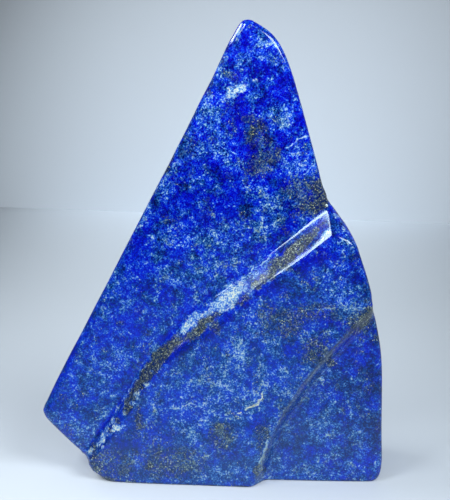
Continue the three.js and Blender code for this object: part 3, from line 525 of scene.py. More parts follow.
# looser pale clouds
CLOUD = [
    (222, 392, 30, 26, -12, 0.50), (240, 352, 14, 22, 10, 0.50), (246, 412, 14, 18, 0, 0.34), (190, 412, 24, 16, -10, 0.36),
    (200, 432, 16, 10, -10, 0.3), (258, 372, 12, 12, 0, 0.26), (298, 382, 14, 16, 10, 0.3), (320, 380, 12, 12, 0, 0.26),
    (352, 306, 14, 9, 0, 0.42), (222, 262, 34, 14, -6, 0.2), (262, 232, 20, 10, -20, 0.3), (203, 112, 9, 18, 25, 0.42),
    (222, 64, 7, 16, 22, 0.34), (283, 56, 9, 9, 0, 0.34), (258, 50, 14, 8, -10, 0.28), (286, 120, 9, 11, 0, 0.3),
    (232, 150, 16, 10, 15, 0.32), (240, 165, 6, 12, 0, 0.26), (300, 168, 18, 9, -12, 0.36), (302, 188, 12, 12, 0, 0.26),
    (162, 182, 7, 16, 26, 0.3), (180, 140, 6, 16, 26, 0.3), (144, 214, 5, 12, 26, 0.32), (270, 207, 14, 9, -20, 0.3),
    (178, 280, 10, 6, 0, 0.3), (104, 352, 14, 16, 0, 0.24), (104, 378, 16, 12, 0, 0.26), (128, 355, 10, 14, 0, 0.22),
    (245, 320, 12, 12, 0, 0.28), (320, 310, 26, 5, 0, 0.3), (340, 280, 12, 12, 0, 0.2), (150, 410, 16, 10, 0, 0.24),
    (285, 398, 10, 12, 0, 0.24), (320, 425, 14, 12, 0, 0.2), (330, 395, 14, 12, 0, 0.14), (92, 425, 14, 10, 0, 0.14),
    (240, 476, 24, 8, 0, 0.2), (300, 470, 30, 10, 0, 0.1),
    (222, 300, 20, 9, -40, 0.5), (190, 324, 9, 12, 42, 0.4), (254, 274, 22, 6, -40, 0.5), (282, 320, 14, 14, 0, 0.16), (270, 440, 4, 14, 14, 0.34),
    (262, 462, 4, 12, 16, 0.34), (266, 322, 10, 18, -10, 0.34), (292, 318, 12, 10, 0, 0.26), (306, 372, 12, 10, 0, 0.24), (288, 404, 5, 16, 34, 0.30), (312, 350, 14, 12, 0, 0.2), (215, 246, 16, 8, 0, 0.2), (170, 246, 10, 6, 0, 0.24),
]
# thin veins, and a few painted highlight lines noted below: points, half width, strength
VEINS_AND_HIGHLIGHTS = [
    ([(283, 149), (290, 146), (297, 141), (303, 137), (309, 133)], 1.0, 0.895), ([(186, 139), (194, 145), (204, 150)], 0.6, 0.45),
    ([(218, 145), (228, 150), (237, 155), (240, 164), (241, 173)], 0.9, 0.5), ([(226, 229), (240, 229), (253, 227), (263, 229),
     (271, 225), (278, 221), (287, 217), (298, 214)], 1.1, 0.62), ([(258, 210), (262, 221), (264, 233), (267, 244)], 0.8, 0.42),
    ([(301, 309), (312, 310), (320, 308), (331, 309), (341, 307)], 1.0, 0.7),
    ([(235, 417), (238, 414), (242, 410.5), (247, 408.5), (252, 408), (256, 404.5), (259, 400), (262, 394), (264, 388)], 1.2, 1.06),
    ([(261, 395), (266, 393.5), (272, 393), (279, 394), (288, 392)], 0.55, 0.6), ([(263, 393), (262, 388), (262, 383)], 0.5, 0.34), ([(167, 412), (178, 407), (190, 405), (199, 404)], 0.9, 0.8),
    ([(257, 477), (261, 467), (263, 458), (267, 446), (271, 436)], 0.9, 0.895), ([(203, 457), (210, 453), (217, 450)], 1.1, 0.85),
    ([(222, 444), (234, 440), (247, 440)], 0.6, 0.45), ([(218, 478), (226, 474), (234, 470)], 0.9, 0.6),
    ([(91, 409), (95, 413), (99, 419)], 0.5, 0.5), ([(93, 423), (103, 417), (109, 412)], 0.6, 0.6), ([(77, 433), (86, 430)], 0.6, 0.5),
    # the line from (138, 371) to (149, 355) below is painted highlight on the crease's edge
    ([(69, 391), (78, 385)], 0.5, 0.4), ([(138, 371), (143, 363), (149, 355)], 0.8, 0.7), ([(339, 450), (336, 456)], 0.6, 0.5),
    ([(260, 210), (266, 205), (275, 202)], 1.2, 0.8), ([(186, 434), (197, 427), (207, 421)], 0.8, 0.5),
    ([(300, 176), (308, 171), (314, 163), (317, 156)], 0.9, 0.82), ([(276, 130), (286, 128), (292, 121), (291, 113)], 0.9, 0.5),
    ([(230, 152), (216, 156), (206, 158)], 0.8, 0.5), ([(170, 167), (178, 163), (186, 163)], 0.6, 0.4),
    ([(240, 66), (249, 61), (258, 58), (266, 56)], 0.9, 0.5), ([(343, 389), (350, 396), (355, 405)], 0.5, 0.3),
    # the line from (234, 284) to (274, 255) below is partly pale calcite and partly painted highlight, carrying the
    # crease's highlight line on down
    ([(210, 287), (220, 288), (228, 286)], 0.8, 0.5), ([(262, 340), (256, 352), (246, 362), (240, 372)], 0.7, 0.35), ([(234, 284), (244, 277), (254, 269), (264, 262), (274, 255)], 0.8, 0.8),
    ([(198, 293), (208, 291), (219, 288), (229, 284)], 0.6, 0.6), ([(268, 441), (265, 450), (262, 459), (259, 468), (257, 476)], 0.8, 0.89),
    # the line below is painted highlight: the pale line on the crease's edge at the band's lower left
    ([(150, 357), (143, 366), (137, 377), (131, 387), (126, 394)], 0.5, 0.6),
]
# the lower edge of the polished band; the faces right of it are duller
LIP = [(93, 468), (110, 428), (150, 375), (190, 335), (240, 303), (284, 270), (345, 232)]
# a greyer, duller line along the lower crease
GROOVE = [(376, 308), (366, 320), (352, 332), (340, 343), (329, 355), (317, 368), (305, 383), (295, 397), (285, 413), (277, 431),
          (269, 447), (262, 463), (257, 478)]


def wander(x, y):
    """Shifts the marks' edges a little so that no mark is a clean ellipse."""
    dx = 1.3 * np.sin(0.31 * x + 0.17 * y + 0.5) + 0.9 * np.sin(0.53 * y - 0.29 * x + 2.1) + 0.6 * np.sin(0.9 * x + 0.4 * y)
    dy = 1.2 * np.sin(0.27 * y - 0.21 * x + 1.2) + 0.9 * np.sin(0.49 * x + 0.37 * y + 4.0) + 0.6 * np.sin(0.8 * y - 0.6 * x)
    return x + 0.75 * dx, y + 0.75 * dy


def blobs(marks, x, y, soft, grow=1.0):
    """Strongest of the marks at each point; soft is how far a mark's edge spreads."""
    out = np.zeros(x.shape)
    for mx, my, rx, ry, turn, amount in marks:
        rx, ry = rx * grow, ry * grow
        c, s = math.cos(math.radians(turn)), math.sin(math.radians(turn))
        dx, dy = x - mx, y - my
        near = (dx * dx + dy * dy) < ((1 + soft) * max(rx, ry) + 2) ** 2
        u = (dx[near] * c + dy[near] * s) / rx
        v = (-dx[near] * s + dy[near] * c) / ry
        out[near] = np.maximum(out[near], amount * (1 - smooth(1 - soft, 1 + soft, np.hypot(u, v))))
    return out


def along(points, x, y):
    """Signed distance to an open line, and how far along it the nearest point lies (0 to 1)."""
    best = np.full(x.shape, 1e9)
    side = np.ones(x.shape)
    where = np.zeros(x.shape)
    n = len(points) - 1
    for i, ((ax, ay), (bx, by)) in enumerate(zip(points, points[1:])):
        ex, ey = bx - ax, by - ay
        t = np.clip(((x - ax) * ex + (y - ay) * ey) / (ex * ex + ey * ey), 0, 1)
        dx, dy = x - ax - ex * t, y - ay - ey * t
        q = np.hypot(dx, dy)
        m = q < best
        best = np.where(m, q, best)
        side = np.where(m, np.where(ex * dy - ey * dx < 0, -1.0, 1.0), side)
        where = np.where(m, (i + t) / n, where)
    return best * side, where


X, Y, Z = verts.T
vx, vy = view_frame(verts)
wx, wy = wander(vx, vy)
behind = Y - front_y(X, Z)[0]
front_w = 1 - smooth(5.0, 16.0, behind)

calcite_and_highlight = blobs(CALCITE_AND_HIGHLIGHTS, wx, wy, 0.45) * front_w
matrix = np.minimum(1.2 * blobs(MATRIX, wx, wy, 0.5, 1.35), 1.1) * front_w
deep_and_shade = blobs(DEEP_AND_SHADE, wx, wy, 0.75) * front_w
cloud = blobs(CLOUD, wx, wy, 0.8) * front_w

# the other faces: the same kinds of marks, scattered as round bodies in the stone
rng = np.random.default_rng(7)
hidden = np.flatnonzero(front_w < 0.4)
other = 1 - front_w


def scatter(count, r_lo, r_hi, a_lo, a_hi, soft, stretch=2.2):
    out = np.zeros(len(verts))
    for c in verts[rng.choice(hidden, count)]:
        r = rng.uniform(r_lo, r_hi)
        axis = rng.normal(size=3)
        axis /= np.linalg.norm(axis)
        longer = rng.uniform(1.0, stretch)
        d = verts - c
        u = d @ axis
        q = np.sqrt(np.maximum((d * d).sum(1) - u * u, 0) + (u / longer) ** 2) / r
        q += 0.12 * np.sin(0.9 * X + 0.5 * Z + c[0]) + 0.12 * np.sin(0.8 * Y - 0.7 * Z + c[1])
        out = np.maximum(out, rng.uniform(a_lo, a_hi) * (1 - smooth(1 - soft, 1 + soft, q)))
    return out * other


calcite_and_highlight = np.maximum(calcite_and_highlight, scatter(90, 0.9, 2.6, 0.4, 1.0, 0.45))
matrix = np.maximum(matrix, scatter(80, 1.0, 3.2, 0.4, 1.05, 0.5))
deep_and_shade = np.maximum(deep_and_shade, scatter(60, 2.5, 8.0, 0.4, 0.9, 0.75))
cloud = np.maximum(cloud, scatter(34, 5.0, 14.0, 0.2, 0.42, 0.8))

# thin veins and painted highlight lines, as signed distances in millimetres so that they stay sharp between the
# vertices
PX = 0.405  # millimetres to one unit of the view frame, at the stone
layers = [[np.full(len(verts), 9.0), np.zeros(len(verts))] for _ in range(3)]
for k, (points, half, amount) in enumerate(VEINS_AND_HIGHLIGHTS):
    d, t = along(points, wx, wy)
    fade = np.clip(np.minimum(t, 1 - t) * 6, 0.0, 1) * front_w
    d, s, layer = d * PX, amount * fade, layers[k % 3]
    m = (np.abs(d) < np.abs(layer[0])) & (np.abs(d) < 4)
    layer[0] = np.where(m, d, layer[0])
    layer[1] = np.where(m, s, layer[1])
SHEETS = [
    ((0.3, 0.1, 1.0), 30, 0.9), ((0.8, 0.2, -0.5), -12, 0.7), ((-0.45, 0.2, 1.0), 78, 0.8), ((0.6, -0.1, 0.9), 96, 0.6),
    ((1.0, 0.15, 0.25), 22, 0.55), ((-0.2, 0.3, 1.0), 128, 0.8), ((0.75, 0.3, -0.75), -62, 0.75), ((0.1, -0.2, 1.0), 55, 0.5),
]
for k, (n, c, amount) in enumerate(SHEETS):
    n = np.array(n) / np.linalg.norm(n)
    d = verts @ n - c + 1.6 * np.sin(0.11 * X + 0.05 * Y + k) + 0.9 * np.sin(0.23 * Z + 0.2 * Y + 2 * k) + 0.5 * np.sin(0.6 * Y + 0.5 * X)
    s = amount * other * smooth(0.35, 0.7, 0.5 + 0.5 * np.sin(0.06 * X + 0.09 * Y - 0.05 * Z + 1.9 * k))
    layer = layers[k % 3]
    m = (np.abs(d) < np.abs(layer[0])) & (np.abs(d) < 4)
    layer[0] = np.where(m, d, layer[0])
    layer[1] = np.where(m, s, layer[1])
groove, groove_t = along(GROOVE, vx, vy)
groove_w = front_w * smooth(0, 0.06, groove_t) * (0.55 + 0.45 * smooth(0.08, 0.25, groove_t)) * (1 - 0.4 * smooth(0.40, 0.85, groove_t))


def keep_attribute(name, values):
    a = me.attributes.new(name, "FLOAT", "POINT")
    a.data.foreach_set("value", np.ascontiguousarray(values, dtype=np.float32))


keep_attribute("calcite_and_highlight", calcite_and_highlight)
keep_attribute("matrix", matrix)
keep_attribute("deep_and_shade", deep_and_shade)
keep_attribute("cloud", cloud)
for k, (d, s) in enumerate(layers):
    keep_attribute("vein%d" % k, np.clip(d, -4, 4))
    keep_attribute("vein%d_w" % k, s)
keep_attribute("groove", np.clip(groove * PX, -6, 6))
keep_attribute("groove_w", groove_w)
below, _ = along(LIP, vx, vy)
haze = np.clip(0.74 * smooth(132, 20, Z) + 0.32 * smooth(0, 14, below), 0, 1)
haze = haze * (1 - 0.5 * deep_and_shade) * (1 - 0.35 * smooth(25, 45, X))
keep_attribute("haze", haze * front_w + 0.35 * other)
keep_attribute("calm", smooth(112, 72, Z) * smooth(0, -12, below) * front_w)
keep_attribute("upper", np.maximum(smooth(100, 116, Z), 0.55 * smooth(-14, -24, X) * smooth(66, 56, Z) * smooth(22, 30, Z)) * front_w)
keep_attribute("tone", 0.92 + 0.19 * smooth(105, 150, Z))
keep_attribute("dull", 0.44 + 0.08 * haze * front_w + 0.10 * other - 0.34 * deep_and_shade + 0.18 * smooth(95, 35, Z) * smooth(-15, 40, X) * front_w
               + 0.10 * smooth(112, 80, Z) * smooth(36, 56, X) * front_w
               + 0.16 * smooth(34, 6, Z) * (1 - smooth(5, 30, X)) * front_w)


# --------------------------------------------------------------------- the UVs
def unwrap():
    """Front, back and base seen flat, and the rim as two strips along the outline."""
    seg = np.roll(EDGE, -1, axis=0) - EDGE
    start = np.concatenate([[0], np.cumsum(np.hypot(seg[:, 0], seg[:, 1]))])
    rot = int(np.argmin(np.abs(EDGE[:, 0] - 10) + 50 * (EDGE[:, 1] > -4)))  # measured from under the base
    best, s = np.full(len(verts), 1e18), np.zeros(len(verts))
    for i in range(len(EDGE)):
        (ax, az), (ex, ez) = EDGE[i], seg[i]
        t = np.clip(((X - ax) * ex + (Z - az) * ez) / (ex * ex + ez * ez), 0, 1)
        q = (X - ax - ex * t) ** 2 + (Z - az - ez * t) ** 2
        m = q < best
        best = np.where(m, q, best)
        s = np.where(m, start[i] + t * math.hypot(ex, ez), s)
    s = (s - start[rot]) % start[-1]
    top = float(s[np.argmax(Z)])
    n = normals[quads].mean(1)
    centre = verts[quads].mean(1)
    s_mid = s[quads].mean(1)
    kind = np.where(n[:, 1] < -0.5, 0, np.where(n[:, 1] > 0.5, 1, 2))
    kind = np.where((kind == 2) & (s_mid > top), 3, kind)
    kind = np.where((n[:, 2] < -0.8) & (centre[:, 2] < 1.5), 4, kind)
    q = quads
    qx, qy, qz, qs = X[q], Y[q], Z[q], s[q]
    lo = [float(s[quads[kind == k]].min()) if (kind == k).any() else 0.0 for k in (2, 3)]
    u = np.select([(kind == k)[:, None] for k in range(5)],
                  [qx + 74, 142 + 63 - qx, qs - lo[0], qs - lo[1], 228 + (qx + 74) * 0.72])
    v = np.select([(kind == k)[:, None] for k in range(5)],
                  [qz + 1, qz + 1, 186 + qy + 31, 242 + qy + 31, 200 + (qy + 31)])
    size = 330.0
    return np.stack([(u + 2) / size, (v + 2) / size], -1).reshape(-1, 2)


uv = unwrap()
print("uv", uv.min(0), uv.max(0))
layer_uv = me.uv_layers.new(name="OFBake")
layer_uv.uv.foreach_set("vector", uv.astype(np.float32).ravel())


# ---------------------------------------------------------------- the material
def linear(r, g, b):
    """Screen colour 0 to 255 as the reflectance that gives it under this light."""
    out = []
    for c in (r, g, b):
        c /= 255
        c = c / 12.92 if c <= 0.04045 else ((c + 0.055) / 1.055) ** 2.4
        out.append(min(max((c - VEIL) / LIGHT, 0.0004), 0.9))
    return (*out, 1.0)


LIGHT, VEIL = 1.50, 0.004


class Nodes:
    """Short ways to make and join shader nodes."""

    def __init__(self, name):
        self.mat = bpy.data.materials.new(name)
        self.mat.use_nodes = True
        self.tree = self.mat.node_tree
        self.tree.nodes.clear()
        self.count = 0

    def new(self, kind, **props):
        n = self.tree.nodes.new(kind)
        for k, v in props.items():
            setattr(n, k, v)
        n.location = (200 * (self.count % 12), -220 * (self.count // 12))
        self.count += 1
        return n

    def put(self, socket, value):
        if isinstance(value, bpy.types.NodeSocket):
            self.tree.links.new(value, socket)
        elif value is not None:
            socket.default_value = value

    def math(self, op, a, b=None, c=None, clamp=False):
        n = self.new("ShaderNodeMath", operation=op, use_clamp=clamp)
        for k, v in enumerate((a, b, c)):
            self.put(n.inputs[k], v)
        return n.outputs[0]

    def add(self, first, *rest):
        for r in rest:
            first = self.math("ADD", first, r)
        return first

    def times(self, a, b):
        return self.math("MULTIPLY", a, b)

    def centred(self, a, k):
        """(a - 0.5) * k"""
        return self.math("MULTIPLY_ADD", a, k, -0.5 * k)

    def step(self, lo, hi, v):
        n = self.new("ShaderNodeMapRange", interpolation_type="SMOOTHSTEP")
        self.put(n.inputs["Value"], v)
        self.put(n.inputs["From Min"], lo)
        self.put(n.inputs["From Max"], hi)
        return n.outputs["Result"]

    def attr(self, name):
        return self.new("ShaderNodeAttribute", attribute_type="GEOMETRY", attribute_name=name).outputs["Fac"]

    def noise(self, vec, size, detail=2.0, rough=0.5, shift=0.0):
        n = self.new("ShaderNodeTexNoise", noise_dimensions="4D")
        self.put(n.inputs["Vector"], vec)
        self.put(n.inputs["W"], shift)
        self.put(n.inputs["Scale"], 1.0 / size)
        self.put(n.inputs["Detail"], detail)
        self.put(n.inputs["Roughness"], rough)
        return n

    def cells(self, vec, size, feature="F1"):
        n = self.new("ShaderNodeTexVoronoi", feature=feature)
        self.put(n.inputs["Vector"], vec)
        self.put(n.inputs["Scale"], 1.0 / size)
        return n

    def rgb(self, color):
        n = self.new("ShaderNodeSeparateColor")
        self.put(n.inputs[0], color)
        return n.outputs

    def ramp(self, fac, stops, mode="LINEAR"):
        n = self.new("ShaderNodeValToRGB")
        n.color_ramp.interpolation = mode
        els = n.color_ramp.elements
        while len(els) > 1:
            els.remove(els[-1])
        els[0].position, els[0].color = stops[0]
        for pos, col in stops[1:]:
            els.new(pos).color = col
        self.put(n.inputs[0], fac)
        return n.outputs["Color"]

    def mix(self, fac, a, b):
        n = self.new("ShaderNodeMix", data_type="RGBA", clamp_factor=True)
        self.put(n.inputs[0], fac)
        self.put(n.inputs[6], a)
        self.put(n.inputs[7], b)
        return n.outputs[2]

    def vec(self, op, a, b=None, scale=None):
        n = self.new("ShaderNodeVectorMath", operation=op)
        self.put(n.inputs[0], a)
        self.put(n.inputs[1], b)
        if scale is not None:
            self.put(n.inputs["Scale"], scale)
        return n.outputs["Vector"]


def lapis_material():
    g = Nodes("lapis_lazuli")
    where = g.vec("SCALE", g.new("ShaderNodeTexCoord").outputs["Object"], scale=1000.0)  # millimetres
    bend = g.noise(where, 2.2, 2.0).outputs["Color"]
    p = g.vec("ADD", where, g.vec("SCALE", g.vec("SUBTRACT", bend, (0.5, 0.5, 0.5)), scale=1.1))
    shake = g.noise(where, 0.55, 1.0, 0.5, 5.0).outputs["Color"]
    q = g.vec("ADD", p, g.vec("SCALE", g.vec("SUBTRACT", shake, (0.5, 0.5, 0.5)), scale=0.5))

    grain = g.rgb(g.cells(q, 0.66).outputs["Color"])
    grain2 = g.rgb(g.cells(q, 1.25).outputs["Color"])
    grain3 = g.rgb(g.cells(q, 0.45).outputs["Color"])
    fine = g.noise(p, 0.62, 2.0, 0.6).outputs["Fac"]
    small = g.noise(p, 1.9, 3.0, 0.65, 3.0).outputs["Fac"]
    mid = g.noise(p, 3.6, 3.0, 0.6, 13.0).outputs["Fac"]
    patch = g.noise(p, 7.5, 3.0, 0.55, 7.0).outputs["Fac"]
    broad = g.noise(where, 28.0, 2.0, 0.5, 11.0).outputs["Fac"]
    wisp = g.noise(g.vec("MULTIPLY", p, (0.7, 1.0, 1.25)), 3.6, 3.0, 0.62, 21.0)
    fine_b = g.noise(p, 0.9, 2.0, 0.6, 17.0).outputs["Fac"]

    calcite_and_highlight, matrix = g.attr("calcite_and_highlight"), g.attr("matrix")
    deep_and_shade, cloud, haze = g.attr("deep_and_shade"), g.attr("cloud"), g.attr("haze")

    # how pale the blue is, granule by granule
    flat = g.add(g.math("MULTIPLY_ADD", haze, 0.06, 1.10), g.times(g.attr("calm"), -0.13))  # made up for below, where the lower faces are cloudier
    ground = g.add(g.centred(small, 1.14), g.centred(mid, 0.94), g.centred(patch, 0.52), g.centred(broad, 0.14), g.times(cloud, 0.34), g.times(deep_and_shade, -0.30))
    crowd = g.step(-0.16, 0.22, ground)  # pale granules gather where the ground is paler
    speck = g.math("POWER", grain[0], 2.6)
    speck2 = g.math("POWER", grain2[0], 3.0)
    t = g.add(
        g.times(g.centred(fine, 1.0), g.math("MULTIPLY_ADD", crowd, 0.84, 1.06)),  # clear blue is the smoothest
        g.centred(grain3[0], 0.30), g.centred(grain[1], 0.20),
        g.times(g.add(speck, -0.28), g.math("MULTIPLY_ADD", crowd, 0.17, 0.08)),
        g.times(g.add(speck2, -0.25), g.math("MULTIPLY_ADD", crowd, 0.19, 0.05)),
        ground,
    )
    t = g.add(0.40, g.times(t, flat))
    # filaments: the middle level of a noise, drawn thin
    thread = g.math("ABSOLUTE", g.math("SUBTRACT", wisp.outputs["Fac"], 0.5))
    t = g.add(t, g.times(g.times(g.step(0.035, 0.0, thread), g.step(0.50, 0.72, g.add(patch, g.centred(small, 0.5)))), 0.20))
    cream = None
    for k in range(3):
        d = g.math("ABSOLUTE", g.add(g.attr("vein%d" % k), g.centred(fine, 0.4), g.centred(small, 0.6)))
        amount = g.attr("vein%d_w" % k)
        width = g.math("MULTIPLY_ADD", amount, 0.22, 0.05)
        line = g.step(g.add(width, 0.22), g.times(width, 0.3), g.add(d, g.centred(grain3[0], 0.16)))
        bright = g.times(line, g.step(0.86, 1.0, amount))
        cream = bright if cream is None else g.math("MAXIMUM", cream, bright)
        lift = g.math("MULTIPLY_ADD", g.step(0.7, 1.0, amount), 0.30, 0.50)
        t = g.add(t, g.times(line, g.times(amount, g.add(lift, g.centred(grain[0], 0.4), g.centred(small, 0.6)))))
    # one ramp is clear violet blue, the other greyed towards teal; they mix in soft patches
    clear = g.ramp(t, [
        (0.00, linear(0, 0, 154)), (0.14, linear(0, 3, 188)), (0.28, linear(0, 16, 206)), (0.40, linear(4, 38, 216)),
        (0.52, linear(12, 60, 228)), (0.64, linear(34, 90, 238)), (0.78, linear(72, 128, 242)), (0.94, linear(120, 170, 244)),
        (1.00, linear(176, 210, 244)),
    ])
    greyed = g.ramp(t, [
        (0.00, linear(0, 8, 58)), (0.14, linear(2, 22, 88)), (0.28, linear(6, 40, 116)), (0.40, linear(12, 60, 140)),
        (0.52, linear(26, 82, 162)), (0.64, linear(50, 108, 182)), (0.78, linear(84, 142, 202)), (0.94, linear(124, 174, 214)),
        (1.00, linear(174, 210, 218)),
    ])
    hue = g.add(g.attr("dull"), g.centred(g.noise(p, 4.6, 3.0, 0.62, 31.0).outputs["Fac"], 2.7), g.centred(g.noise(p, 11.0, 2.0, 0.5, 61.0).outputs["Fac"], 1.1), g.centred(g.noise(q, 1.1, 2.0, 0.6, 37.0).outputs["Fac"], 1.1),
                g.centred(grain2[1], 0.25))
    colour = g.mix(g.step(-0.05, 1.05, hue), clear, greyed)

    # the lower faces are cloudier under the polish
    colour = g.mix(g.times(haze, 0.32), colour, linear(46, 92, 172))
    colour = g.mix(g.times(cream, g.math("MULTIPLY_ADD", g.step(0.32, 0.66, g.add(g.times(fine, 0.5), g.times(grain3[1], 0.5))), 0.80, 0.12)), colour, linear(216, 222, 190))

    # calcite bodies and painted highlights, with ragged, granular edges
    ragged = g.add(g.centred(grain[1], 0.50), g.centred(fine_b, 1.7), g.centred(small, 1.3))
    white = g.step(0.22, 0.92, g.add(calcite_and_highlight, ragged))
    chalk = g.ramp(g.add(0.44, g.centred(grain[2], 0.55), g.centred(fine, 2.6), g.centred(calcite_and_highlight, 0.5), g.centred(small, 1.0)), [
        (0.0, linear(6, 54, 190)), (0.26, linear(44, 108, 216)), (0.54, linear(102, 162, 232)), (0.8, linear(172, 210, 232)), (1.0, linear(226, 240, 226)),
    ])
    colour = g.mix(g.times(white, g.math("MULTIPLY_ADD", calcite_and_highlight, 0.7, 0.25, clamp=True)), colour, chalk)

    # olive-brown matrix
    stray = g.times(g.step(0.50, 0.70, g.add(g.noise(p, 6.0, 3.0, 0.6, 41.0).outputs["Fac"], g.times(g.attr("dull"), 0.12))), 0.47)
    rough_edge = g.add(g.centred(grain[1], 0.36), g.centred(grain3[1], 0.26), g.centred(small, 1.3), g.centred(fine_b, 0.8), g.centred(mid, 0.8))
    upper = g.attr("upper")  # the matrix is darker near the top
    m = g.math("MAXIMUM", matrix, stray)
    brown = g.step(0.24, 0.72, g.add(g.times(m, g.math("MULTIPLY_ADD", upper, 0.2, 0.80)), rough_edge))
    brown = g.times(brown, g.math("MULTIPLY_ADD", g.times(white, calcite_and_highlight), -0.7, 1.0))  # calcite grains stay clear of it
    earth = g.ramp(g.add(g.math("MULTIPLY_ADD", m, 0.24, 0.20), g.times(upper, -0.14), g.centred(grain[2], 0.50), g.centred(grain3[2], 0.55), g.centred(fine, 2.0), g.centred(small, -0.6)), [
        (0.0, linear(4, 28, 86)), (0.18, linear(22, 42, 68)), (0.40, linear(56, 66, 50)), (0.62, linear(88, 97, 70)),
        (0.84, linear(124, 138, 122)), (1.0, linear(186, 204, 194)),
    ])
    colour = g.mix(g.times(brown, g.math("MULTIPLY_ADD", m, 0.44, 0.40, clamp=True)), colour, earth)

    # a greyer line with a darker core along the lower crease, rougher there
    across_line = g.add(g.attr("groove"), g.centred(small, 0.7))
    crease_grey = g.times(g.step(1.5, 0.1, g.math("ABSOLUTE", across_line)), g.attr("groove_w"))
    core = g.times(g.step(0.50, 0.05, g.math("ABSOLUTE", g.add(across_line, -0.35, g.centred(fine_b, 0.7)))), g.attr("groove_w"))
    colour = g.mix(g.times(crease_grey, g.add(0.42, g.centred(grain[0], 0.7), g.centred(fine, 1.6), g.centred(mid, 1.4))), colour, linear(104, 124, 154))
    colour = g.mix(g.times(core, g.add(0.50, g.centred(fine, 1.4), g.centred(mid, 1.4))), colour, linear(26, 40, 70))

    colour = g.vec("SCALE", colour, scale=g.attr("tone"))

    # pyrite flecks, mostly in the matrix
    fleck = g.cells(p, 0.62)
    pick = g.rgb(fleck.outputs["Color"])
    rich = g.times(brown, g.times(g.step(0.10, 0.55, brown), g.math("MULTIPLY_ADD", g.step(0.88, 1.0, haze), -0.45, 1.0)))  # fewer low down
    rich = g.math("MULTIPLY_ADD", rich, 0.084, 0.0002)
    pyrite = g.times(g.math("GREATER_THAN", g.math("ADD", pick[0], rich), 1.0), g.step(0.34, 0.24, fleck.outputs["Distance"]))
    colour = g.mix(pyrite, colour, (0.37, 0.42, 0.22, 1.0))

    rough = g.add(0.115, g.centred(small, 0.05), g.times(brown, 0.05), g.times(crease_grey, 0.14), g.times(pyrite, 0.30))
    # the polish: slight waves, softer minerals a little lower
    wave = g.noise(where, 14.0, 2.0, 0.4, 51.0).outputs["Fac"]
    relief = g.add(g.times(wave, 0.9), g.times(brown, -0.03), g.times(g.noise(p, 1.8, 1.0).outputs["Fac"], 0.03))
    bump = g.new("ShaderNodeBump")
    bump.inputs["Strength"].default_value = 0.35
    bump.inputs["Distance"].default_value = 0.0004
    g.put(bump.inputs["Height"], relief)

    shader = g.new("ShaderNodeBsdfPrincipled")
    g.put(shader.inputs["Base Color"], colour)
    g.put(shader.inputs["Roughness"], rough)
    g.put(shader.inputs["Metallic"], g.times(pyrite, 0.2))
    g.put(shader.inputs["Normal"], bump.outputs["Normal"])
    shader.inputs["IOR"].default_value = 1.5
    shader.inputs["Specular Tint"].default_value = (0.74, 0.95, 1.0, 1.0)
    out = g.new("ShaderNodeOutputMaterial")
    g.put(out.inputs["Surface"], shader.outputs[0])
    return g.mat


me.materials.append(lapis_material())
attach(stone, "root")
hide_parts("stone")

# ------------------------------------------------------------------- the studio
def paper(name, low, high, size, fade=None, tone=None):
    """Matt paint whose tone drifts a little.

    fade gives (y, tone) stops for a floor that darkens towards its front. tone is
    (axis, six coefficients, least, most): painted light, a smooth fall-off of brightness in x and that axis.
    """
    g = Nodes(name)
    where = g.new("ShaderNodeTexCoord").outputs["Object"]
    drift = g.noise(where, size, 2.0, 0.4).outputs["Fac"]
    colour = g.mix(g.step(0.35, 0.65, drift), low, high)
    split = g.new("ShaderNodeSeparateXYZ")
    g.put(split.inputs[0], where)
    if fade:
        first, last = fade[0][0], fade[-1][0]
        spot = g.math("MULTIPLY_ADD", split.outputs["Y"], 1 / (last - first), -first / (last - first), clamp=True)
        dim = g.ramp(spot, [((at - first) / (last - first), (v, v, v, 1)) for at, v in fade], "EASE")
        colour = g.vec("MULTIPLY", colour, dim)
    # painted light: brightness falling off smoothly across the paint
    if tone:
        axis, (c0, c1, c2, c3, c4, c5), least, most = tone
        a = g.math("MINIMUM", g.math("MAXIMUM", split.outputs["X"], -0.25), 0.25)
        b = g.math("MINIMUM", g.math("MAXIMUM", split.outputs[axis], -0.04), 0.62 if axis == "Y" else 0.24)
        value = g.add(c0, g.times(a, c1), g.times(b, c2), g.times(g.times(a, a), c3), g.times(g.times(a, b), c4), g.times(g.times(b, b), c5))
        value = g.math("MINIMUM", g.math("MAXIMUM", value, least), most)
        colour = g.vec("SCALE", colour, scale=value)
    shader = g.new("ShaderNodeBsdfPrincipled")
    g.put(shader.inputs["Base Color"], colour)
    shader.inputs["Roughness"].default_value = 0.6
    out = g.new("ShaderNodeOutputMaterial")
    g.put(out.inputs["Surface"], shader.outputs[0])
    return g.mat


def panel(name, corners, material):
    mesh = bpy.data.meshes.new(name)
    mesh.from_pydata(corners, [], [(0, 1, 2, 3)])
    ob = bpy.data.objects.new(name, mesh)
    bpy.context.scene.collection.objects.link(ob)
    mesh.materials.append(material)
    return ob


# the floor's and back wall's tone terms are painted light, fitted fall-offs of brightness
floor_paint_and_light = paper("floor_paint_and_light", (0.24, 0.274, 0.310, 1), (0.25, 0.286, 0.322, 1), 0.5,
                    fade=[(-0.9, 0.20), (-0.35, 0.27), (-0.12, 0.42), (-0.06, 1.0)],
                    tone=("Y", (1.883, -1.1, -1.566, -21.57, 5.3, 4.698), 0.9, 2.4))
wall_paint_and_light = paper("wall_paint_and_light", (0.24, 0.274, 0.310, 1), (0.25, 0.286, 0.322, 1), 0.5,
                   tone=("Z", (2.106, 0.3485, -0.06162, -12.43, 2.967, -10.37), 0.45, 2.3))
dim_paint = paper("dim_paint", (0.10, 0.11, 0.12, 1), (0.11, 0.12, 0.13, 1), 0.5)
dark_paint = paper("dark_paint", (0.012, 0.013, 0.014, 1), (0.014, 0.015, 0.016, 1), 0.5)
W, F, B = 1.5, -1.5, 0.606
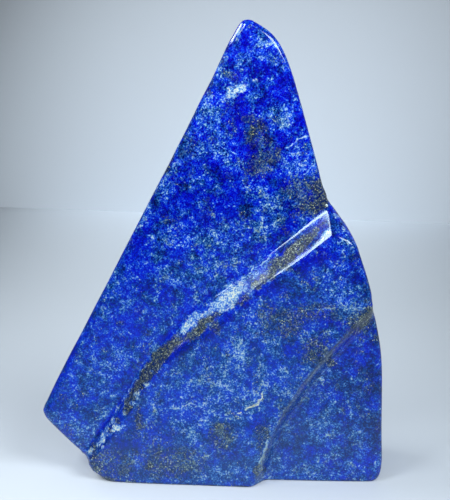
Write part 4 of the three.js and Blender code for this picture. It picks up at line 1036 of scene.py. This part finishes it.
SLANT = 0.22  # the back wall's right side stands nearer
panel("floor", [(-W, F, 0), (W, F, 0), (W, B + 0.4, 0), (-W, B + 0.4, 0)], floor_paint_and_light)
panel("wall_back", [(-W, B + W * SLANT, 0), (W, B - W * SLANT, 0), (W, B - W * SLANT, 1.3), (-W, B + W * SLANT, 1.3)], wall_paint_and_light)
panel("wall_left", [(-W, F, 0), (-W, B + W * SLANT, 0), (-W, B + W * SLANT, 1.3), (-W, F, 1.3)], dim_paint)
panel("wall_right", [(W, B - W * SLANT, 0), (W, F, 0), (W, F, 1.3), (W, B - W * SLANT, 1.3)], dim_paint)
panel("wall_front", [(W, F, 0), (-W, F, 0), (-W, F, 1.3), (W, F, 1.3)], dark_paint)


def softbox(name, azimuth, elevation, reach, width, height, radiance, roll=0.0, gloss=True):
    """A soft panel facing the stone; azimuth from the front, to the right positive."""
    a, e, r = math.radians(azimuth), math.radians(elevation), math.radians(roll)
    target = Vector((0, 0, 0.10))
    away = Vector((math.sin(a) * math.cos(e), -math.cos(a) * math.cos(e), math.sin(e)))
    side = (-away).cross(Vector((0, 0, 1))).normalized()
    up = side.cross(-away)
    side, up = side * math.cos(r) + up * math.sin(r), up * math.cos(r) - side * math.sin(r)
    data = bpy.data.lights.new(name, "AREA")
    data.shape = "RECTANGLE"
    data.size, data.size_y = width, height
    data.energy = radiance * math.pi * width * height
    ob = bpy.data.objects.new(name, data)
    ob.matrix_world = Matrix.Translation(target + away * reach) @ Matrix((side, up, away)).transposed().to_4x4()
    ob.visible_camera = False
    ob.visible_glossy = gloss
    bpy.context.scene.collection.objects.link(ob)
    return ob


# the panels seen in the polish, and wide fills that only light
softbox("softbox_left", -50.4, 46.0, 0.80, 0.42, 0.11, 24.0, roll=-49)
softbox("softbox_edge", -109, 39, 1.14, 0.74, 0.23, 16.0, roll=10)
softbox("softbox_right", 52, 40, 0.80, 0.44, 0.26, 18.0, roll=-7)
softbox("fill_front", 0, 20, 1.25, 1.6, 0.8, 3.6, gloss=False)
softbox("fill_back", 180, 50, 1.25, 1.6, 0.9, 1.6, gloss=False)

world = bpy.data.worlds.new("room")
bpy.context.scene.world = world
world.use_nodes = True
world.node_tree.nodes["Background"].inputs["Color"].default_value = (0.80, 0.88, 1.0, 1)
world.node_tree.nodes["Background"].inputs["Strength"].default_value = 0.06

view = bpy.context.scene.view_settings
view.view_transform = "Standard"
view.look = "None"
